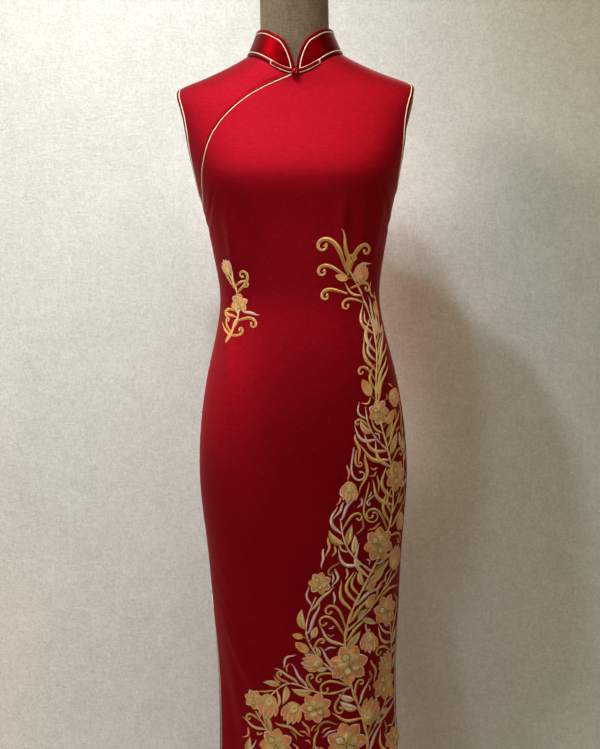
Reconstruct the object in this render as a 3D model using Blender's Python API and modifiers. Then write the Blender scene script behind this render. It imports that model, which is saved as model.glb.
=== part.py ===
"""Cheongsam dress on a dress form: the cut pieces, edge trims, frog fastening, form and stand.

Metres, +Z up. The front of the dress faces -Y and the wearer's left is +X. The origin is on the
floor below the middle of the stand.
"""
import math

import bmesh
import bpy
import numpy as np

# ---------------------------------------------------------------- driving sizes
WALL = 0.0013                 # thickness of a cloth panel with its backing
SEAM_GAP = 0.0003             # space left between pieces that meet at a seam
TRIM_WALL = 0.0022            # thickness of a folded binding, round both faces of the edge
TRIM_PROUD = 0.0006           # how far a binding stands over the panel's face
PIPING_PROUD = 0.0009         # how far the gold piping stands over the panel's face
BINDING_WIDTH = 0.0044
PIPING_WIDTH = 0.0013

HEM_Z = 0.100
SLIT_TOP_Z = 0.562
UNDERARM_Z = 1.2035
SHOULDER_TIP_Z = 1.3672
OPENING_SIDE_Z = 1.176        # where the curved front opening reaches the side seam
SLIT_TAPER = 0.020            # length in which a slit's trims grow to their full width
SLIT_TIP_SHARE = 0.12         # share of their full width at the slit's top
SLIT_FRONT_INSET = 0.0360     # the front's slit edge stands this far from the side by the hem
SLIT_BACK_INSET = 0.0370
SLIT_INSET_POWER = 0.5

NECK_HALF_WIDTH = 0.0748      # outer face of the collar at its base
NECK_FRONT = 0.0650
NECK_BACK = 0.0505
NECK_RANGE_Z = (1.36, 1.449)  # heights between which the neckline lies
NECK_CLEARANCE = 0.0009       # from the panels' neck edges to the collar's base line
COLLAR_TOP_HALF_WIDTH = 0.0588
COLLAR_TOP_FRONT = 0.0585
COLLAR_TOP_BACK = 0.0480
COLLAR_HEIGHT = {"front": 0.0490, "side": 0.0410, "back": 0.0450}
COLLAR_CORNER = 0.031         # length of the rounded front corners
COLLAR_BINDING_WIDTH = 0.0052
COLLAR_LIFT = 0.0006          # the collar starts this far above the panels

# Depth of each armhole before (-1) and behind (1) the side line, for the wearer's left (1) and
# right (-1): the dress hangs turned a little on its form.
ARMHOLE_DEPTH = {(1, -1): 0.0540, (1, 1): 0.0480, (-1, -1): 0.0500, (-1, 1): 0.0540}
ARMHOLE_TOP_POWER = 2.0
ARMHOLE_BOTTOM_POWER = 3.2
OPENING_SIDE_RANGE_Z = (1.05, 1.32)   # stretch of the side seam that the opening can meet
UNDER_FADE = 4.0              # how soon the small front piece's rows leave its side seam

FORM_GAP = 0.0023             # air between the form and the cloth where the dress rests
FORM_BOTTOM_Z = 0.720
FORM_NECK_HALF_WIDTH = 0.0535
FORM_NECK_FRONT = 0.0520
FORM_NECK_BACK = 0.0440
FORM_NECK_TOP_Z = 1.520
FORM_NECK_CURVE = 0.030       # height of the hollow curve from the shoulders into the neck
FORM_NECK_RISE = 0.004        # how far the neck's foot rises towards it
POLE_RADIUS = 0.014
SOCKET_RADIUS = 0.024
SOCKET_HEIGHT = 0.034
SOCKET_FLANGE_RADIUS = 0.036
SOCKET_FLANGE_THICKNESS = 0.004
BASE_RADIUS = 0.190
BASE_THICKNESS = 0.006
BASE_BEVEL = 0.0015
HUB_RADIUS = 0.028
HUB_FOOT_RADIUS = 0.034
HUB_FOOT_HEIGHT = 0.006
HUB_HEIGHT = 0.045
EDGE_ROUNDING = 0.003

FROG_KNOT_RADIUS = 0.0058
FROG_BAR_LENGTH = 0.034
FROG_BAR_WIDTH = 0.0050
FROG_BAR_THICKNESS = 0.0014
FROG_BAR_START = 0.0062       # distance from the middle of the knot to each bar

FRONT_COLUMNS = {"neckline": 12, "shoulder": 14}
BACK_COLUMNS = {"neckline": 8, "shoulder": 7}
UNDER_COLUMNS = {"neckline": 5, "shoulder": 6}
YOKE_ROWS = 15                # rows of a panel beside an armhole
SHOULDER_CROWDING = 1.45
BODY_ROWS = {"front": 12, "back": 10}
SLIT_ROWS = 10
COLLAR_SEGMENTS = 34
COLLAR_CORNER_SEGMENTS = 8
COLLAR_END_ROWS = 5           # rows of the collar beside its front edges
FORM_SEGMENTS = 32
ROUND_SEGMENTS = 32
KNOT_SEGMENTS = 14
KNOT_RINGS = 9
FROG_BAR_STATIONS = 9
NECK_STATIONS = 144
OPENING_STATIONS = 60
COLLAR_STATIONS = 400
CREASE_ANGLE = math.radians(50)
MIDDLE_FRONT = -math.pi / 2   # turn or angle at which a ring starts, running towards the left
FULL_TURN = 2 * math.pi

# Outline of the dress at each height: z, half width at the side seams, front y, back y, the side
# seams' own y, and how square the front and back of the section are (2 is an ellipse).
SECTIONS = (
    (0.060, 0.1630, -0.086, 0.092, 0.000, 1.75, 1.80),
    (0.300, 0.1528, -0.088, 0.093, 0.000, 1.82, 1.86),
    (0.450, 0.1450, -0.090, 0.094, 0.000, 2.08, 2.08),
    (0.560, 0.1502, -0.093, 0.097, 0.001, 2.30, 2.26),
    (0.650, 0.1568, -0.096, 0.102, 0.002, 2.30, 2.25),
    (0.745, 0.1655, -0.100, 0.111, 0.003, 2.26, 2.22),
    (0.850, 0.1608, -0.104, 0.119, 0.004, 2.22, 2.20),
    (0.920, 0.1492, -0.101, 0.111, 0.002, 2.20, 2.20),
    (0.975, 0.1360, -0.094, 0.092, 0.000, 2.22, 2.20),
    (1.040, 0.1258, -0.086, 0.075, -0.003, 2.25, 2.22),
    (1.107, 0.1342, -0.094, 0.081, -0.005, 2.35, 2.25),
    (1.164, 0.1445, -0.109, 0.092, -0.006, 2.55, 2.35),
    (1.192, 0.1512, -0.1185, 0.096, -0.006, 2.68, 2.38),
    (1.212, 0.1566, -0.1246, 0.099, -0.006, 2.75, 2.40),
    (1.228, 0.1612, -0.1262, 0.100, -0.005, 2.75, 2.40),
    (1.245, 0.1667, -0.1222, 0.101, -0.004, 2.75, 2.40),
    (1.280, 0.1778, -0.1075, 0.101, -0.002, 2.70, 2.35),
    (1.313, 0.1873, -0.092, 0.098, 0.000, 2.60, 2.25),
    (1.340, 0.1945, -0.080, 0.092, 0.000, 2.40, 2.10),
    (1.356, 0.1935, -0.073, 0.087, 0.000, 2.20, 2.02),
    (1.3672, 0.1815, -0.069, 0.083, 0.000, 2.05, 2.02),
    (1.380, 0.1495, -0.0655, 0.077, 0.000, 2.00, 2.00),
    (1.396, 0.1115, -0.060, 0.069, 0.000, 2.00, 2.00),
    (1.4135, 0.0780, -0.054, 0.059, 0.000, 2.00, 2.00),
    (1.430, 0.0560, -0.048, 0.050, 0.000, 2.00, 2.00),
    (1.450, 0.0400, -0.040, 0.038, 0.000, 2.00, 2.00),
)

# Soft folds: a line on one face (-1 is the front) from its upper to its lower end, how wide the
# fold is and how far it stands out (or lies in, when negative).
FOLD_COLUMNS = ("face", "x_top", "z_top", "x_low", "z_low", "width", "height")
FOLDS = (
    (-1, -0.100, 1.205, -0.088, 1.075, 0.0100, 0.0020),
    (-1, -0.078, 1.200, -0.070, 1.090, 0.0090, -0.0012),
    (-1, 0.058, 1.200, 0.052, 1.090, 0.0100, -0.0014),
    (-1, 0.084, 1.205, 0.072, 1.060, 0.0100, 0.0020),
    (-1, 0.112, 1.195, 0.092, 1.080, 0.0100, -0.0012),
    (-1, -0.138, 0.575, -0.062, 0.375, 0.0140, 0.0026),
    (-1, -0.134, 0.545, -0.100, 0.330, 0.0120, 0.0022),
    (-1, -0.128, 0.500, -0.112, 0.280, 0.0110, -0.0016),
    (-1, 0.138, 0.570, 0.085, 0.390, 0.0150, 0.0022),
    (-1, 0.130, 0.510, 0.108, 0.300, 0.0120, -0.0015),
    (1, -0.120, 1.020, -0.030, 0.985, 0.0120, 0.0020),
    (1, 0.118, 1.028, 0.028, 0.998, 0.0120, 0.0022),
    (1, -0.132, 0.565, -0.070, 0.380, 0.0150, 0.0024),
    (1, 0.134, 0.560, 0.082, 0.370, 0.0150, 0.0022),
)

# The curved opening from the collar to the side seam: x and z of its bound edge.
OPENING = (
    (0.0010, 1.3885),
    (-0.0290, 1.3757),
    (-0.0600, 1.3612),
    (-0.0902, 1.3410),
    (-0.1161, 1.3160),
    (-0.1348, 1.2870),
    (-0.1452, 1.2540),
    (-0.1483, 1.2220),
    (-0.1484, 1.1960),
)

# Form: heights, and the air between it and the cloth at each.
FORM_EASE = (
    (0.72, 0.0060),
    (0.85, 0.0028),
    (0.95, 0.0045),
    (1.04, 0.0045),
    (1.14, 0.0050),
    (1.22, 0.0030),
    (1.30, 0.0020),
    (1.340, 0.0034),
    (1.357, 0.0054),
    (1.367, 0.0054),
    (1.388, FORM_GAP),
    (1.45, FORM_GAP),
)
# Flat plates that close the form at the armholes: heights, and their half width at each.
ARM_PLATE = (
    (1.160, 0.1700),
    (1.205, 0.1535),
    (1.245, 0.1580),
    (1.270, 0.1630),
    (1.288, 0.1680),
    (1.305, 0.1742),
    (1.325, 0.1802),
    (1.345, 0.1855),
    (1.357, 0.1860),
    (1.380, 0.1860),
)
ARM_PLATE_SHIFT = 0.0022      # how far both plates stand towards the wearer's left
ARM_PLATE_POWER = 24          # how sharply the form turns into its plates
FORM_LEVELS = (*np.linspace(FORM_BOTTOM_Z, 1.30, 17), 1.325, 1.345, 1.357)
FORM_SHOULDER_SHARES = (0.17, 0.33, 0.5, 0.66, 0.82, 0.96)    # from the last level to the neck
FORM_NECK_BENDS = (0.3, 0.62, 1.0)                            # shares of the hollow curve

# Neck cap: shares of the neck's outline and heights over its top, from below.
NECK_CAP_PROFILE = (
    (0.985, SEAM_GAP),
    (1.02, 0.002),
    (1.02, 0.006),
    (0.97, 0.010),
    (0.90, 0.012),
)

FINISHES = {
    "satin": ((0.40, 0.012, 0.022), 0.42, 0.0),
    "satin_trim": ((0.36, 0.010, 0.024), 0.48, 0.0),
    "gold_cord": ((0.72, 0.50, 0.28), 0.45, 0.3),
    "linen": ((0.42, 0.37, 0.28), 0.92, 0.0),
    "wood": ((0.22, 0.12, 0.06), 0.55, 0.0),
    "steel": ((0.36, 0.35, 0.34), 0.32, 1.0),
    "base_paint": ((0.10, 0.10, 0.10), 0.45, 0.2),
}


# ---------------------------------------------------------------- surfaces
class Spline:
    """A natural cubic spline through the rows of a table whose first column is the position."""

    def __init__(self, rows):
        table = np.array(rows, dtype=float)
        self.knots = table[:, 0]
        self.values = table[:, 1:]
        step = np.diff(self.knots)
        count = len(self.knots)
        matrix = np.eye(count)
        right = np.zeros_like(self.values)
        for i in range(1, count - 1):
            matrix[i, i - 1:i + 2] = (step[i - 1], 2 * (step[i - 1] + step[i]), step[i])
            rise = (self.values[i + 1] - self.values[i]) / step[i]
            right[i] = 6 * (rise - (self.values[i] - self.values[i - 1]) / step[i - 1])
        self.bends = np.linalg.solve(matrix, right)

    def at(self, position):
        """Each column's value at the positions, as a list of arrays."""
        position = np.asarray(position, dtype=float)
        i = np.clip(np.searchsorted(self.knots, position) - 1, 0, len(self.knots) - 2)
        width = self.knots[i + 1] - self.knots[i]
        low = (self.knots[i + 1] - position) / width
        high = 1 - low
        columns = []
        for c in range(self.values.shape[1]):
            value = low * self.values[i, c] + high * self.values[i + 1, c]
            value += ((low ** 3 - low) * self.bends[i, c]
                      + (high ** 3 - high) * self.bends[i + 1, c]) * width ** 2 / 6
            columns.append(value)
        return columns


BODY = Spline(SECTIONS)


def fold_height(face, x, z):
    """Sum of the soft folds at places on the front (-1) or back (1) of the dress."""
    total = np.zeros_like(x)
    for row in FOLDS:
        fold = dict(zip(FOLD_COLUMNS, row))
        run = np.array((fold["x_low"] - fold["x_top"], fold["z_low"] - fold["z_top"]))
        length = float(np.hypot(*run))
        run /= length
        along = (x - fold["x_top"]) * run[0] + (z - fold["z_top"]) * run[1]
        across = (x - fold["x_top"]) * run[1] - (z - fold["z_top"]) * run[0]
        window = np.sin(np.pi * np.clip(along / length, 0, 1)) ** 1.2
        ridge = fold["height"] * window * np.exp(-(across / fold["width"]) ** 2)
        total += np.where(face == fold["face"], ridge, 0)
    return total


def body_place(angle, z, folded=True):
    """Points of the dress's outer face at angles round the body and heights."""
    half, front, back, side, square_front, square_back = BODY.at(z)
    c = np.cos(angle)
    s = np.sin(angle)
    depth = np.where(s < 0, side - front, back - side)
    power = np.where(s < 0, square_front, square_back)
    reach = (np.abs(c) ** power + np.abs(s) ** power) ** (-1 / power)
    x = half * c * reach
    y = side + depth * s * reach
    if folded:
        lift = fold_height(np.where(s < 0, -1, 1), x, z)
        out = np.hypot(c / half, s / depth)
        x = x + lift * c / half / out
        y = y + lift * s / depth / out
    return np.stack((x, y, z + 0 * x), axis=-1)


def bare_place(angle, z):
    """Points of the outer face without its soft folds."""
    return body_place(angle, z, folded=False)


def lay(place, path):
    """Points, outward normals and the two edge directions of a surface along a path."""
    u = np.asarray(path)[..., 0]
    v = np.asarray(path)[..., 1]
    du = 1e-4
    dv = 1e-5
    point = place(u, v)
    along_u = (place(u + du, v) - place(u - du, v)) / (2 * du)
    along_v = (place(u, v + dv) - place(u, v - dv)) / (2 * dv)
    normal = np.cross(along_u, along_v)
    normal /= np.linalg.norm(normal, axis=-1, keepdims=True)
    return point, normal, along_u, along_v


def shift(place, path, distance, closed=False, steps=4):
    """Move a path sideways in a surface, to the left of its own direction."""
    path = np.array(path, dtype=float)
    distance = np.broadcast_to(distance, len(path)) / steps
    for _ in range(steps):
        point, normal, along_u, along_v = lay(place, path)
        if closed:
            ahead = np.roll(point, -1, axis=0) - point
            behind = np.roll(ahead, 1, axis=0)
        else:
            ahead = np.vstack((point[1:] - point[:-1], point[-1:] - point[-2:-1]))
            behind = np.vstack((ahead[:1], ahead[:-1]))
        left_ahead = np.cross(normal, ahead)
        left_behind = np.cross(normal, behind)
        left_ahead /= np.linalg.norm(left_ahead, axis=1, keepdims=True)
        left_behind /= np.linalg.norm(left_behind, axis=1, keepdims=True)
        turn = np.sum(left_ahead * left_behind, axis=1, keepdims=True)
        move = (left_ahead + left_behind) / np.maximum(1 + turn, 0.5) * distance[:, None]
        for i in range(len(path)):
            frame = np.stack((along_u[i], along_v[i]), axis=1)
            path[i] += np.linalg.lstsq(frame, move[i], rcond=None)[0]
    return path


def resample(place, path, segments, shares=None):
    """The same path with points at shares of its real length, evenly spaced if none are given."""
    path = np.asarray(path, dtype=float)
    point = place(path[:, 0], path[:, 1])
    length = np.concatenate(([0], np.cumsum(np.linalg.norm(np.diff(point, axis=0), axis=1))))
    want = length[-1] * (np.linspace(0, 1, segments + 1) if shares is None else shares)
    return np.stack([np.interp(want, length, path[:, k]) for k in (0, 1)], axis=1)


def crossing(path, fence):
    """Where a path first meets a fence, or would if run back past its start."""
    found = []
    for i in range(len(path) - 1):
        run = path[i + 1] - path[i]
        reach_back = 12.0 if i == 0 else 0.0
        for j in range(len(fence) - 1):
            rail = fence[j + 1] - fence[j]
            cross = run[0] * rail[1] - run[1] * rail[0]
            if abs(cross) < 1e-15:
                continue
            offset = fence[j] - path[i]
            t = (offset[0] * rail[1] - offset[1] * rail[0]) / cross
            s = (offset[0] * run[1] - offset[1] * run[0]) / cross
            if -reach_back <= t <= 1 and 0 <= s <= 1:
                found.append((t < 0, i, abs(t), path[i] + t * run))
    first = min(found, key=lambda meeting: meeting[:3])
    return first[1], first[3]


def trim_start(path, fence):
    """The path cut off, or run on, so that it starts on the fence."""
    segment, point = crossing(path, fence)
    return np.vstack((point[None], path[segment + 1:]))


def trim_end(path, fence):
    """The path cut off, or run on, so that it ends on the fence."""
    return trim_start(path[::-1], fence)[::-1]


def patch(bottom, top, left, right, rises=None, fade=1.0):
    """A grid of places between four paths that meet at their ends.

    Rows run straight from left to right, bent towards the bottom and top paths near them.
    """
    u = np.linspace(0, 1, len(bottom))[None, :, None]
    v = np.linspace(0, 1, len(left)) if rises is None else rises
    v = v[:, None, None]
    level = (1 - u) * left[:, None] + u * right[:, None]
    bend_low = bottom[None] - (1 - u) * bottom[0] - u * bottom[-1]
    bend_high = top[None] - (1 - u) * top[0] - u * top[-1]
    return level + bend_low * (1 - v) ** fade + bend_high * v ** fade


def between(left, right, columns):
    """A grid of places on level lines between two upright paths."""
    u = np.linspace(0, 1, columns + 1)[None, :, None]
    return (1 - u) * left[:, None] + u * right[:, None]


# ---------------------------------------------------------------- solids
def material(finish):
    """The Principled material of one finish, made once."""
    if finish in bpy.data.materials:
        return bpy.data.materials[finish]
    colour, roughness, metallic = FINISHES[finish]
    made = bpy.data.materials.new(finish)
    made.use_nodes = True
    shader = made.node_tree.nodes["Principled BSDF"]
    shader.inputs["Base Color"].default_value = (*colour, 1)
    shader.inputs["Roughness"].default_value = roughness
    shader.inputs["Metallic"].default_value = metallic
    made.diffuse_color = (*colour, 1)
    return made


def add_mesh(name, points, faces, finish):
    """A named object in the parts' collection from points and faces, facing out."""
    mesh = bpy.data.meshes.new(name)
    mesh.from_pydata([tuple(p) for p in points], [], faces)
    shape = bmesh.new()
    shape.from_mesh(mesh)
    bmesh.ops.recalc_face_normals(shape, faces=shape.faces)
    shape.to_mesh(mesh)
    shape.free()
    mesh.shade_smooth()
    mesh.set_sharp_from_angle(angle=CREASE_ANGLE)
    return add_object(name, mesh, finish)


def add_object(name, data, finish):
    """Link an object with its own material into the parts' collection."""
    made = bpy.data.objects.new(name, data)
    data.materials.append(material(finish))
    PARTS.objects.link(made)
    return made


def solid_between(name, outer, inner, finish, closed=False, split=False):
    """A closed solid between two grids of points, whose columns may run round in a ring.

    Where its grids are far from flat, each of their faces is split in two along one diagonal.
    """
    rows, columns = outer.shape[:2]
    points = np.concatenate((outer.reshape(-1, 3), inner.reshape(-1, 3)))
    under = rows * columns
    faces = []
    spans = columns if closed else columns - 1
    for i in range(rows - 1):
        for j in range(spans):
            k = (j + 1) % columns
            quad = [i * columns + j, i * columns + k, (i + 1) * columns + k, (i + 1) * columns + j]
            for face in ([quad[:3], quad[2:] + quad[:1]] if split else [quad]):
                faces.append(face)
                faces.append([under + q for q in reversed(face)])
    for i in (0, (rows - 1) * columns):
        for j in range(spans):
            k = (j + 1) % columns
            faces.append([i + k, i + j, under + i + j, under + i + k])
    if not closed:
        for j in (0, columns - 1):
            for i in range(rows - 1):
                a = i * columns + j
                b = a + columns
                faces.append([a, b, under + b, under + a])
    return add_mesh(name, points, faces, finish)


def panel(name, place, grid, finish, wall=WALL, split=False):
    """A cloth panel: its outer face lies on the surface and its wall goes inwards."""
    point, normal, _, _ = lay(place, grid)
    return solid_between(name, point, point - wall * normal, finish, split=split)


def ribbon(name, place, edges, proud, thickness, finish, closed=False):
    """A narrow strip between paths in a surface, standing proud of it."""
    outer = []
    inner = []
    for path in edges:
        point, normal, _, _ = lay(place, path)
        outer.append(point + proud * normal)
        inner.append(point + (proud - thickness) * normal)
    return solid_between(name, np.array(outer), np.array(inner), finish, closed)


def trims(name, place, path, finish_at=None, closed=False, width=BINDING_WIDTH, grow=1.0):
    """The binding and the gold piping along a bound edge, and the panel's own edge behind them."""
    edges = []
    offsets = (0.0, width, width + SEAM_GAP, width + SEAM_GAP + PIPING_WIDTH,
               width + PIPING_WIDTH + 2 * SEAM_GAP)
    for offset in offsets:
        moved = shift(place, path, offset * grow, closed) if offset else np.array(path)
        edges.append(finish_at(moved) if finish_at else moved)
    ribbon("binding_" + name, place, edges[0:2], TRIM_PROUD, TRIM_WALL, "satin_trim", closed)
    ribbon("piping_" + name, place, edges[2:4], PIPING_PROUD, TRIM_WALL, "gold_cord", closed)
    return edges[4]


# ---------------------------------------------------------------- lines on the dress
def neckline(turns):
    """Places on the body where the collar's outer face starts, at turns round the neck."""
    turns = np.asarray(turns, dtype=float)
    x = NECK_HALF_WIDTH * np.cos(turns)
    y = np.where(np.sin(turns) < 0, NECK_FRONT, NECK_BACK) * np.sin(turns)
    low = np.full_like(x, NECK_RANGE_Z[0])
    high = np.full_like(x, NECK_RANGE_Z[1])
    for _ in range(50):
        z = (low + high) / 2
        half, front, back, side, square_front, square_back = BODY.at(z)
        depth = np.where(y < side, side - front, back - side)
        power = np.where(y < side, square_front, square_back)
        outside = (np.abs(x) / half) ** power + (np.abs(y - side) / depth) ** power > 1
        high = np.where(outside, z, high)
        low = np.where(outside, low, z)
    angle = np.arctan2((y - side) / depth, x / half)
    angle = np.where(turns > math.pi / 2, np.mod(angle, FULL_TURN), angle)
    return np.stack((angle, z), axis=1)


# Rows of the yoke from the underarm (0) to the shoulder (1), closest where it turns over.
EVEN_RISES = (1 - np.cos(np.linspace(0, math.pi, YOKE_ROWS + 1))) / 2
YOKE_RISES = 1 - (1 - EVEN_RISES) ** SHOULDER_CROWDING


def armhole(side):
    """The armhole's bound edge as a ring: down one arc from the shoulder and up the other."""
    drop = 1 - YOKE_RISES[::-1]
    z = SHOULDER_TIP_Z + (UNDERARM_Z - SHOULDER_TIP_Z) * drop
    power = np.where(drop < 0.5, ARMHOLE_TOP_POWER, ARMHOLE_BOTTOM_POWER)
    swell = np.sqrt(np.maximum(1 - np.abs(1 - 2 * drop) ** power, 0))
    half, front, back, middle, square_front, square_back = BODY.at(z)
    arcs = {}
    for face, depth, square in ((-1, middle - front, square_front),
                                (1, back - middle, square_back)):
        share = ARMHOLE_DEPTH[side, face] * swell / depth
        across = (1 - share ** square) ** (1 / square)
        angle = face * np.arctan2(share, across)
        arcs[face] = np.stack((angle if side > 0 else face * math.pi - angle, z), axis=1)
    if side > 0:
        ring = np.vstack((arcs[1], arcs[-1][-2:0:-1]))
    else:
        back_arc = arcs[1] - np.array((FULL_TURN, 0))
        ring = np.vstack((arcs[-1], back_arc[-2:0:-1]))
    return ring


def opening_edge():
    """The curved opening's bound edge, from the collar to the side seam."""
    table = np.array(OPENING)
    half, front, _, side, square, _ = BODY.at(table[:, 1])
    across = np.clip(table[:, 0] / half, -1, 1)
    deep = (1 - np.abs(across) ** square) ** (1 / square)
    angle = np.arctan2(-deep, across)
    knots = np.vstack((np.stack((angle, table[:, 1]), axis=1), (-math.pi, OPENING_SIDE_Z)))
    position = np.arange(len(knots), dtype=float)
    smooth = Spline(np.column_stack((position, knots)))
    angle, z = smooth.at(np.linspace(0, len(knots) - 1, OPENING_STATIONS))
    return np.stack((angle, z), axis=1)


def seam(angle, gap_side, z_values):
    """An upright line beside a seam, half a seam gap to one side of it."""
    z_values = np.asarray(z_values, dtype=float)
    _, _, along, _ = lay(body_place, np.stack((np.full_like(z_values, angle), z_values), axis=1))
    offset = gap_side * SEAM_GAP / 2 / np.linalg.norm(along, axis=1)
    return np.stack((angle + offset, z_values), axis=1)


def slit_edge(start_angle, turn, inset):
    """A slit's bound edge from the side seam's end down to the hem."""
    z = np.concatenate(((SLIT_TOP_Z,), np.linspace(SLIT_TOP_Z - SLIT_TAPER, HEM_Z, SLIT_ROWS)))
    line = seam(start_angle, turn, z)
    down = (SLIT_TOP_Z - z) / (SLIT_TOP_Z - HEM_Z)
    _, _, along, _ = lay(body_place, line)
    line[:, 0] += turn * inset * down ** SLIT_INSET_POWER / np.linalg.norm(along, axis=1)
    return line


def skirt_edge(first_angle, last_angle, inset, hem_segments):
    """One panel's bound edge, down a slit, along the hem and up again, and its trims' growth."""
    first = slit_edge(first_angle, 1, inset)
    last = slit_edge(last_angle, -1, inset)[::-1]
    hem_angles = np.linspace(first[-1, 0], last[0, 0], hem_segments + 1)[1:-1]
    hem = np.stack((hem_angles, np.full_like(hem_angles, HEM_Z)), axis=1)
    path = np.vstack((first, hem, last))
    grow = np.clip((SLIT_TOP_Z - path[:, 1]) / SLIT_TAPER, SLIT_TIP_SHARE, 1)
    return path, grow


# ---------------------------------------------------------------- pieces of the dress
def side_lines(starts, panel_edge, rows, seam_angles):
    """The two upright borders of a panel below the armholes, from the top to the hem."""
    slit = SLIT_ROWS + 1
    borders = []
    ends = (panel_edge[:slit], panel_edge[::-1][:slit])
    for start, end, angle, turn in zip(starts, ends, seam_angles, (1, -1)):
        upper = seam(angle, turn, np.linspace(start[1], SLIT_TOP_Z + SLIT_TAPER / 2, rows + 1))
        borders.append(np.vstack((upper, end)))
    return borders


def shoulder_line(angle, turn, tip_z, neck_z, segments):
    """Places along a shoulder seam from the armhole up to the collar."""
    return resample(body_place, seam(angle, turn, np.linspace(tip_z, neck_z, 30)), segments)


def level_of(path, angle):
    """The height at which a path passes an angle."""
    order = np.argsort(path[:, 0])
    return float(np.interp(angle, path[order, 0], path[order, 1]))


def build_dress():
    """The cut pieces of the dress and their trims."""
    turns = np.linspace(MIDDLE_FRONT, MIDDLE_FRONT + FULL_TURN, NECK_STATIONS + 1)
    neck_ring = shift(body_place, neckline(turns), -NECK_CLEARANCE)
    front_left = neck_ring[neck_ring[:, 0] < 0]
    front_right = neck_ring[neck_ring[:, 0] > math.pi] - np.array((FULL_TURN, 0))
    front_neck = np.vstack((front_right, front_left[1:]))
    back_neck = neck_ring[(neck_ring[:, 0] > 0) & (neck_ring[:, 0] < math.pi)]
    side_neck_z = level_of(neck_ring, 0.0)

    arm_edges = {}
    for side, name in ((1, "armhole_left"), (-1, "armhole_right")):
        arm_edges[side] = trims(name, body_place, armhole(side), closed=True)
    split = YOKE_ROWS
    arm = {
        ("left", "back"): arm_edges[1][:split + 1],
        ("left", "front"): np.vstack((arm_edges[1][split:], arm_edges[1][:1]))[::-1],
        ("right", "front"): arm_edges[-1][:split + 1],
        ("right", "back"): np.vstack((arm_edges[-1][split:], arm_edges[-1][:1]))[::-1],
    }
    seams = {("left", "back"): (0, 1, 0), ("left", "front"): (0, -1, 0),
             ("right", "front"): (-math.pi, 1, 0), ("right", "back"): (math.pi, -1, FULL_TURN)}
    for key, (angle, turn, wrap) in seams.items():
        edge = arm[key].copy()
        edge[:, 0] += wrap
        edge[[0, -1]] = seam(angle, turn, edge[[0, -1], 1])
        arm[key] = edge

    build_front(front_neck, arm, side_neck_z)
    build_back(back_neck, arm, side_neck_z)


def build_front(front_neck, arm, neck_z):
    """The main front, the small piece beyond its curved opening, and the opening's trims."""
    side_fence = seam(-math.pi, 1, np.linspace(*OPENING_SIDE_RANGE_Z, 28))
    opening = opening_edge()

    def fitted(path):
        path = trim_end(trim_start(path, front_neck), side_fence)
        return resample(body_place, path, YOKE_ROWS, 1 - YOKE_RISES[::-1])

    main_edge = trims("opening", body_place, opening, fitted)
    under_edge = fitted(shift(body_place, opening, -SEAM_GAP))

    path, grow = skirt_edge(-math.pi, 0.0, SLIT_FRONT_INSET, sum(FRONT_COLUMNS.values()))
    panel_edge = trims("skirt_front", body_place, path, grow=grow)

    neck_start = main_edge[0]
    neck_part = front_neck[front_neck[:, 0] > neck_start[0]]
    neck_part = np.vstack((neck_start[None], neck_part))
    tip_z = arm["left", "front"][0, 1]
    shoulder = shoulder_line(0, -1, tip_z, neck_z, FRONT_COLUMNS["shoulder"])
    neck_part[-1] = shoulder[-1]
    neck_part = resample(body_place, neck_part, FRONT_COLUMNS["neckline"])
    top = np.vstack((neck_part, shoulder[::-1][1:]))
    left = main_edge[::-1]
    right = arm["left", "front"][::-1]
    bottom = between(left[:1], right[:1], len(top) - 1)[0]
    yoke = patch(bottom, top, left, right, YOKE_RISES)
    borders = side_lines((left[0], right[0]), panel_edge, BODY_ROWS["front"], (-math.pi, 0.0))
    body = between(borders[0], borders[1], len(top) - 1)
    panel("front", body_place, np.concatenate((body[::-1], yoke[1:])), "satin")

    tip_z = arm["right", "front"][0, 1]
    shoulder = shoulder_line(-math.pi, 1, tip_z, neck_z, UNDER_COLUMNS["shoulder"])
    neck_part = front_neck[front_neck[:, 0] < under_edge[0, 0]]
    neck_part = np.vstack((neck_part, under_edge[:1]))
    neck_part[0] = shoulder[-1]
    neck_part = resample(body_place, neck_part, UNDER_COLUMNS["neckline"])
    top = np.vstack((shoulder, neck_part[1:]))
    left = arm["right", "front"][::-1]
    right = under_edge[::-1]
    bottom = seam(-math.pi, 1, np.linspace(left[0, 1], right[0, 1], len(top)))
    grid = patch(bottom, top, left, right, YOKE_RISES, fade=UNDER_FADE)
    panel("front_under", body_place, grid, "satin", split=True)


def build_back(back_neck, arm, neck_z):
    """The back, cut in one piece, and the trims of its slits and hem."""
    path, grow = skirt_edge(0.0, math.pi, SLIT_BACK_INSET,
                            BACK_COLUMNS["neckline"] + 2 * BACK_COLUMNS["shoulder"])
    panel_edge = trims("skirt_back", body_place, path, grow=grow)
    tips = (arm["left", "back"][0, 1], arm["right", "back"][0, 1])
    first = shoulder_line(0, 1, tips[0], neck_z, BACK_COLUMNS["shoulder"])
    last = shoulder_line(math.pi, -1, tips[1], neck_z, BACK_COLUMNS["shoulder"])
    neck_part = np.vstack((first[-1:], back_neck, last[-1:]))
    neck_part = resample(body_place, neck_part, BACK_COLUMNS["neckline"])
    top = np.vstack((first, neck_part[1:], last[::-1][1:]))
    left = arm["left", "back"][::-1]
    right = arm["right", "back"][::-1]
    bottom = between(left[:1], right[:1], len(top) - 1)[0]
    yoke = patch(bottom, top, left, right, YOKE_RISES)
    borders = side_lines((left[0], right[0]), panel_edge, BODY_ROWS["back"], (0.0, math.pi))
    body = between(borders[0], borders[1], len(top) - 1)
    panel("back", body_place, np.concatenate((body[::-1], yoke[1:])), "satin")


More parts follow.
